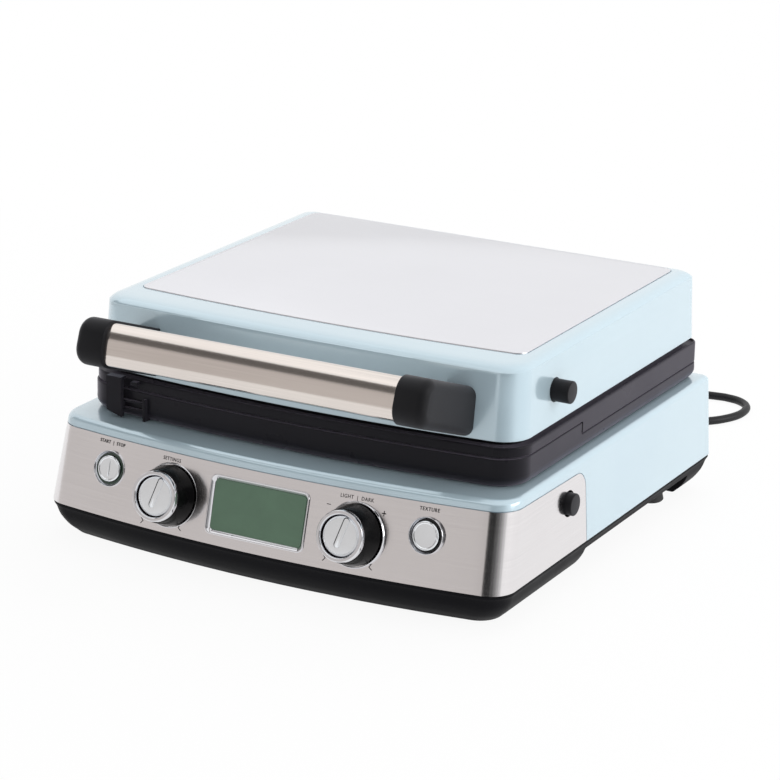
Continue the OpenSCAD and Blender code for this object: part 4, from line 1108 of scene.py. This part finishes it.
def make_spring(finish, name, z, body):
    """A wound spring round a release button's tail, with closed ends."""
    start, length, coil, wire, travel = 127.7, 22.0, 3.9, 0.6, 4.0
    turns, steps = 7, 24
    line = []
    for i in range(turns * steps + 1):
        turn = i / steps
        open_turns = min(max(turn - 1, 0), turns - 2)
        along = wire * (turn - open_turns) + (length - 2 * wire) * open_turns / (turns - 2)
        angle = 2 * math.pi * turn
        line.append(at(start + along, RELEASE_Y + coil * math.cos(angle), z + coil * math.sin(angle)))
    piece = as_mesh(name + "_wire", wire_curve(name, line, wire))
    shade(piece, 50)
    dress(piece, body, finish["spring"], "spring_steel", name + "_spring")
    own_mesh(piece)


# Lettering --------------------------------------------------------------------------------------

INK_THICKNESS = 0.02
INK_LIFT = 0.03
LETTER_WIDTH = 0.86


def letters(name, words, height, **settings):
    """Printed letters as a thin flat mesh, in millimetres. The font's size is larger than its capitals are high."""
    data = bpy.data.curves.new(name, "FONT")
    data.body = words
    data.size = height * 1.38
    data.extrude = INK_THICKNESS
    data.resolution_u = 3
    for key, value in settings.items():
        setattr(data, key, value)
    return as_mesh(name, placed(name, data))


def print_words(finish, name, words, x, v, height):
    """Words printed on the panel, laid onto its bow and lean."""
    piece = letters(name, words, height, align_x="CENTER", align_y="CENTER", space_character=1.15, offset=0.03)
    for vertex in piece.data.vertices:
        vertex.co.x *= LETTER_WIDTH
    lay_on_panel(piece, x, v)
    dress(piece, "base", finish["ink"], "housing_paint")


def print_on_deck(finish, name, words, x, y, height):
    """A small word on the flat deck, read from the front."""
    piece = letters(name, words, height)
    for vertex in piece.data.vertices:
        vertex.co = at(x + vertex.co.x, y + vertex.co.y, DECK + INK_LIFT + max(0.0, vertex.co.z))
    dress(piece, "base", finish["ink"], "housing_paint")


def lay_on_panel(piece, x, v):
    """Moves a flat drawing, in millimetres, onto the panel's bowed face round a point."""
    for vertex in piece.data.vertices:
        lift = INK_LIFT + max(0.0, vertex.co.z)
        px, y, z = panel_point(x + vertex.co.x, v + vertex.co.y)
        vertex.co = at(px, y - lift * math.cos(PANEL_LEAN), z + lift * math.sin(PANEL_LEAN))


def print_tick(finish, name, x, v, turn):
    """A small arrowhead that marks the end of a dial's travel."""
    c, s = math.cos(turn), math.sin(turn)
    points = [(dx * c - dy * s, dx * s + dy * c) for dx, dy in
              ((-2.3, 1.3), (0, -0.7), (2.3, 1.3), (2.3, 0.5), (0, -1.5), (-2.3, 0.5))]
    faces = [(0, 1, 4, 5), (1, 2, 3, 4), (6, 7, 10, 11), (7, 8, 9, 10)]
    faces += [(i, (i + 1) % 6, (i + 1) % 6 + 6, i + 6) for i in range(6)]
    piece = placed_mesh(name, [(px, py, h) for h in (0.0, INK_THICKNESS) for px, py in points], faces)
    lay_on_panel(piece, x, v)
    turn_faces_out(piece)
    dress(piece, "base", finish["ink"], "housing_paint")


def make_lettering(finish):
    """The plain working labels of the panel."""
    for name, words, x, v, height in (
            ("start", "START  |  STOP", -135.2, 55, 2.6), ("settings", "SETTINGS", -79.6, 54, 2.7),
            ("shade", "LIGHT  |  DARK", 75, 54, 2.8), ("texture", "TEXTURE", 130.2, 54.5, 2.7),
            ("minus", "–", 54, 46.5, 5.2), ("plus", "+", 97, 46, 5.6)):
        print_words(finish, "label_" + name, words, x, v, height)
    print_on_deck(finish, "label_lock", "LOCK", -127, -140.5, 2.6)
    for i, (x, v, turn) in enumerate(((56, 8, 90), (92.5, 7.5, -80), (-99, 5, 90), (-65, 6.5, -80))):
        print_tick(finish, f"tick_{i + 1}", x, v, math.radians(turn))


# Studio -----------------------------------------------------------------------------------------

def make_lamp(name, place, target, size, power):
    data = bpy.data.lights.new(name, "AREA")
    data.shape = "RECTANGLE"
    data.size, data.size_y = size
    data.energy = power
    lamp = placed(name, data)
    lamp.location = place
    lamp.rotation_mode = "QUATERNION"
    lamp.rotation_quaternion = (Vector(place) - Vector(target)).to_track_quat("Z", "Y")
    lamp.visible_camera = False


WHITE = (1, 1, 1, 1)
WARM_GREY = (1.0, 0.955, 0.93, 1)
CARD_RADIUS = 1.2
CARD_STEPS = 24


def make_studio():
    """A pale floor and soft lamps. The background is plain white to the camera and in reflections."""
    scene.view_settings.view_transform = "Standard"
    world = bpy.data.worlds.new("studio")
    scene.world = world
    world.use_nodes = True
    tree = world.node_tree
    shown = tree.nodes["Background"]
    feed(tree, shown, {"Color": WHITE})
    lit = add(tree, "Background", {"Color": WHITE, "Strength": 0.8})
    show_mixed(tree, seen_directly(tree), lit, shown, tree.nodes["World Output"])
    make_lamp("key_right", (2.4, 0.35, 0.9), (0, 0, 0.08), (1.6, 1.2), 24)
    make_lamp("top_soft", (0.3, 1.3, 2.2), (0, 0, 0.1), (2.0, 1.6), 20)
    bpy.data.objects["top_soft"].visible_glossy = False
    make_card("grey_card", -180, -83, 0.001, 0.62, 0.65, WARM_GREY)
    make_card("dark_band", -180, -83, 0.62, 1.12, 0.14, WARM_GREY)
    make_card("overhead_light", -225, -83, 1.18, 2.6, 1.22, WHITE)
    for i, (start, end, strength) in enumerate(((-83, -60, 0.03), (-60, -50, 0.1), (-50, -42, 0.22), (-42, -34, 0.4),
                                                (-34, -26, 0.65))):
        make_card(f"corner_card_{i + 1}", start, end, 0.001, 1.0, strength, WHITE)
    make_floor()


def make_card(name, start, end, low, high, strength, colour):
    """An upright card bent round the object, which only shows in reflections. Angles in degrees, heights in metres."""
    material = bpy.data.materials.new(name)
    material.use_nodes = True
    tree = material.node_tree
    tree.nodes.remove(tree.nodes["Principled BSDF"])
    glow = add(tree, "Emission", {"Color": colour, "Strength": strength})
    feed(tree, tree.nodes["Material Output"], {"Surface": glow.outputs[0]})
    edge = arc((0, 0), CARD_RADIUS, start, end, CARD_STEPS)
    row = len(edge)
    card = placed_mesh(name, [(x, y, z) for z in (low, high) for x, y in edge],
                       [(i, i + 1, i + 1 + row, i + row) for i in range(CARD_STEPS)])
    card.data.materials.append(material)
    card.visible_camera = card.visible_diffuse = card.visible_shadow = False


def seen_directly(tree):
    """1 for what the camera, a reflection or glass shows, and 0 for light on the object."""
    path = add(tree, "LightPath").outputs
    most = sum_of(tree, "MAXIMUM", path["Is Camera Ray"], path["Is Glossy Ray"])
    return sum_of(tree, "MAXIMUM", most, path["Is Transmission Ray"])


def show_mixed(tree, share, first, second, output):
    """Shows a mix of two shaders: the first at a share of 0, the second at 1."""
    mixed = add(tree, "MixShader", {"Fac": share, 1: first.outputs[0], 2: second.outputs[0]})
    feed(tree, output, {"Surface": mixed.outputs[0]})


def make_floor():
    """A wide pale floor that shows white and keeps the object's shadow."""
    material, tree, shader = new_material("studio_floor", Base_Color=(0.86, 0.86, 0.86, 1), Roughness=0.9)
    glow = add(tree, "Emission", {"Strength": 1.0})
    away = add(tree, "VectorMath", {0: object_place(tree)}, operation="LENGTH").outputs["Value"]
    share = sum_of(tree, "MULTIPLY", ranged(tree, away, 0.92, 1.0, 0.3, 1.0), seen_directly(tree))
    show_mixed(tree, share, shader, glow, tree.nodes["Material Output"])
    floor = placed_mesh("studio_floor", [(-12, -12, 0), (12, -12, 0), (12, 12, 0), (-12, 12, 0)], [(0, 1, 2, 3)])
    floor.data.materials.append(material)


# The whole scene --------------------------------------------------------------------------------

def build():
    make_camera()
    finish = make_finishes()
    finish_nodes(finish)
    lead, line, length = make_lead(finish["cord"])
    for make in (make_pan, make_housing, make_panel, make_lower_tray, make_upper_tray, make_lid, make_top_plate,
                 make_handle, make_rings, make_display):
        make(finish)
    make_dial(finish, "settings", -DIAL_X, "settings_dial")
    make_dial(finish, "shade", DIAL_X, "shade_dial")
    make_button(finish, "start_button", START_X, 9.6)
    make_button(finish, "texture_button", TEXTURE_X, 10.4)
    make_release(finish, "lower_release", RELEASE_Z[0], 195.6, 184.6)
    make_release(finish, "upper_release", RELEASE_Z[1], 190.0, 172.6)
    make_spring(finish, "lower_release", RELEASE_Z[0], "base")
    make_spring(finish, "upper_release", RELEASE_Z[1], "lid")
    make_lettering(finish)
    make_studio()


build()
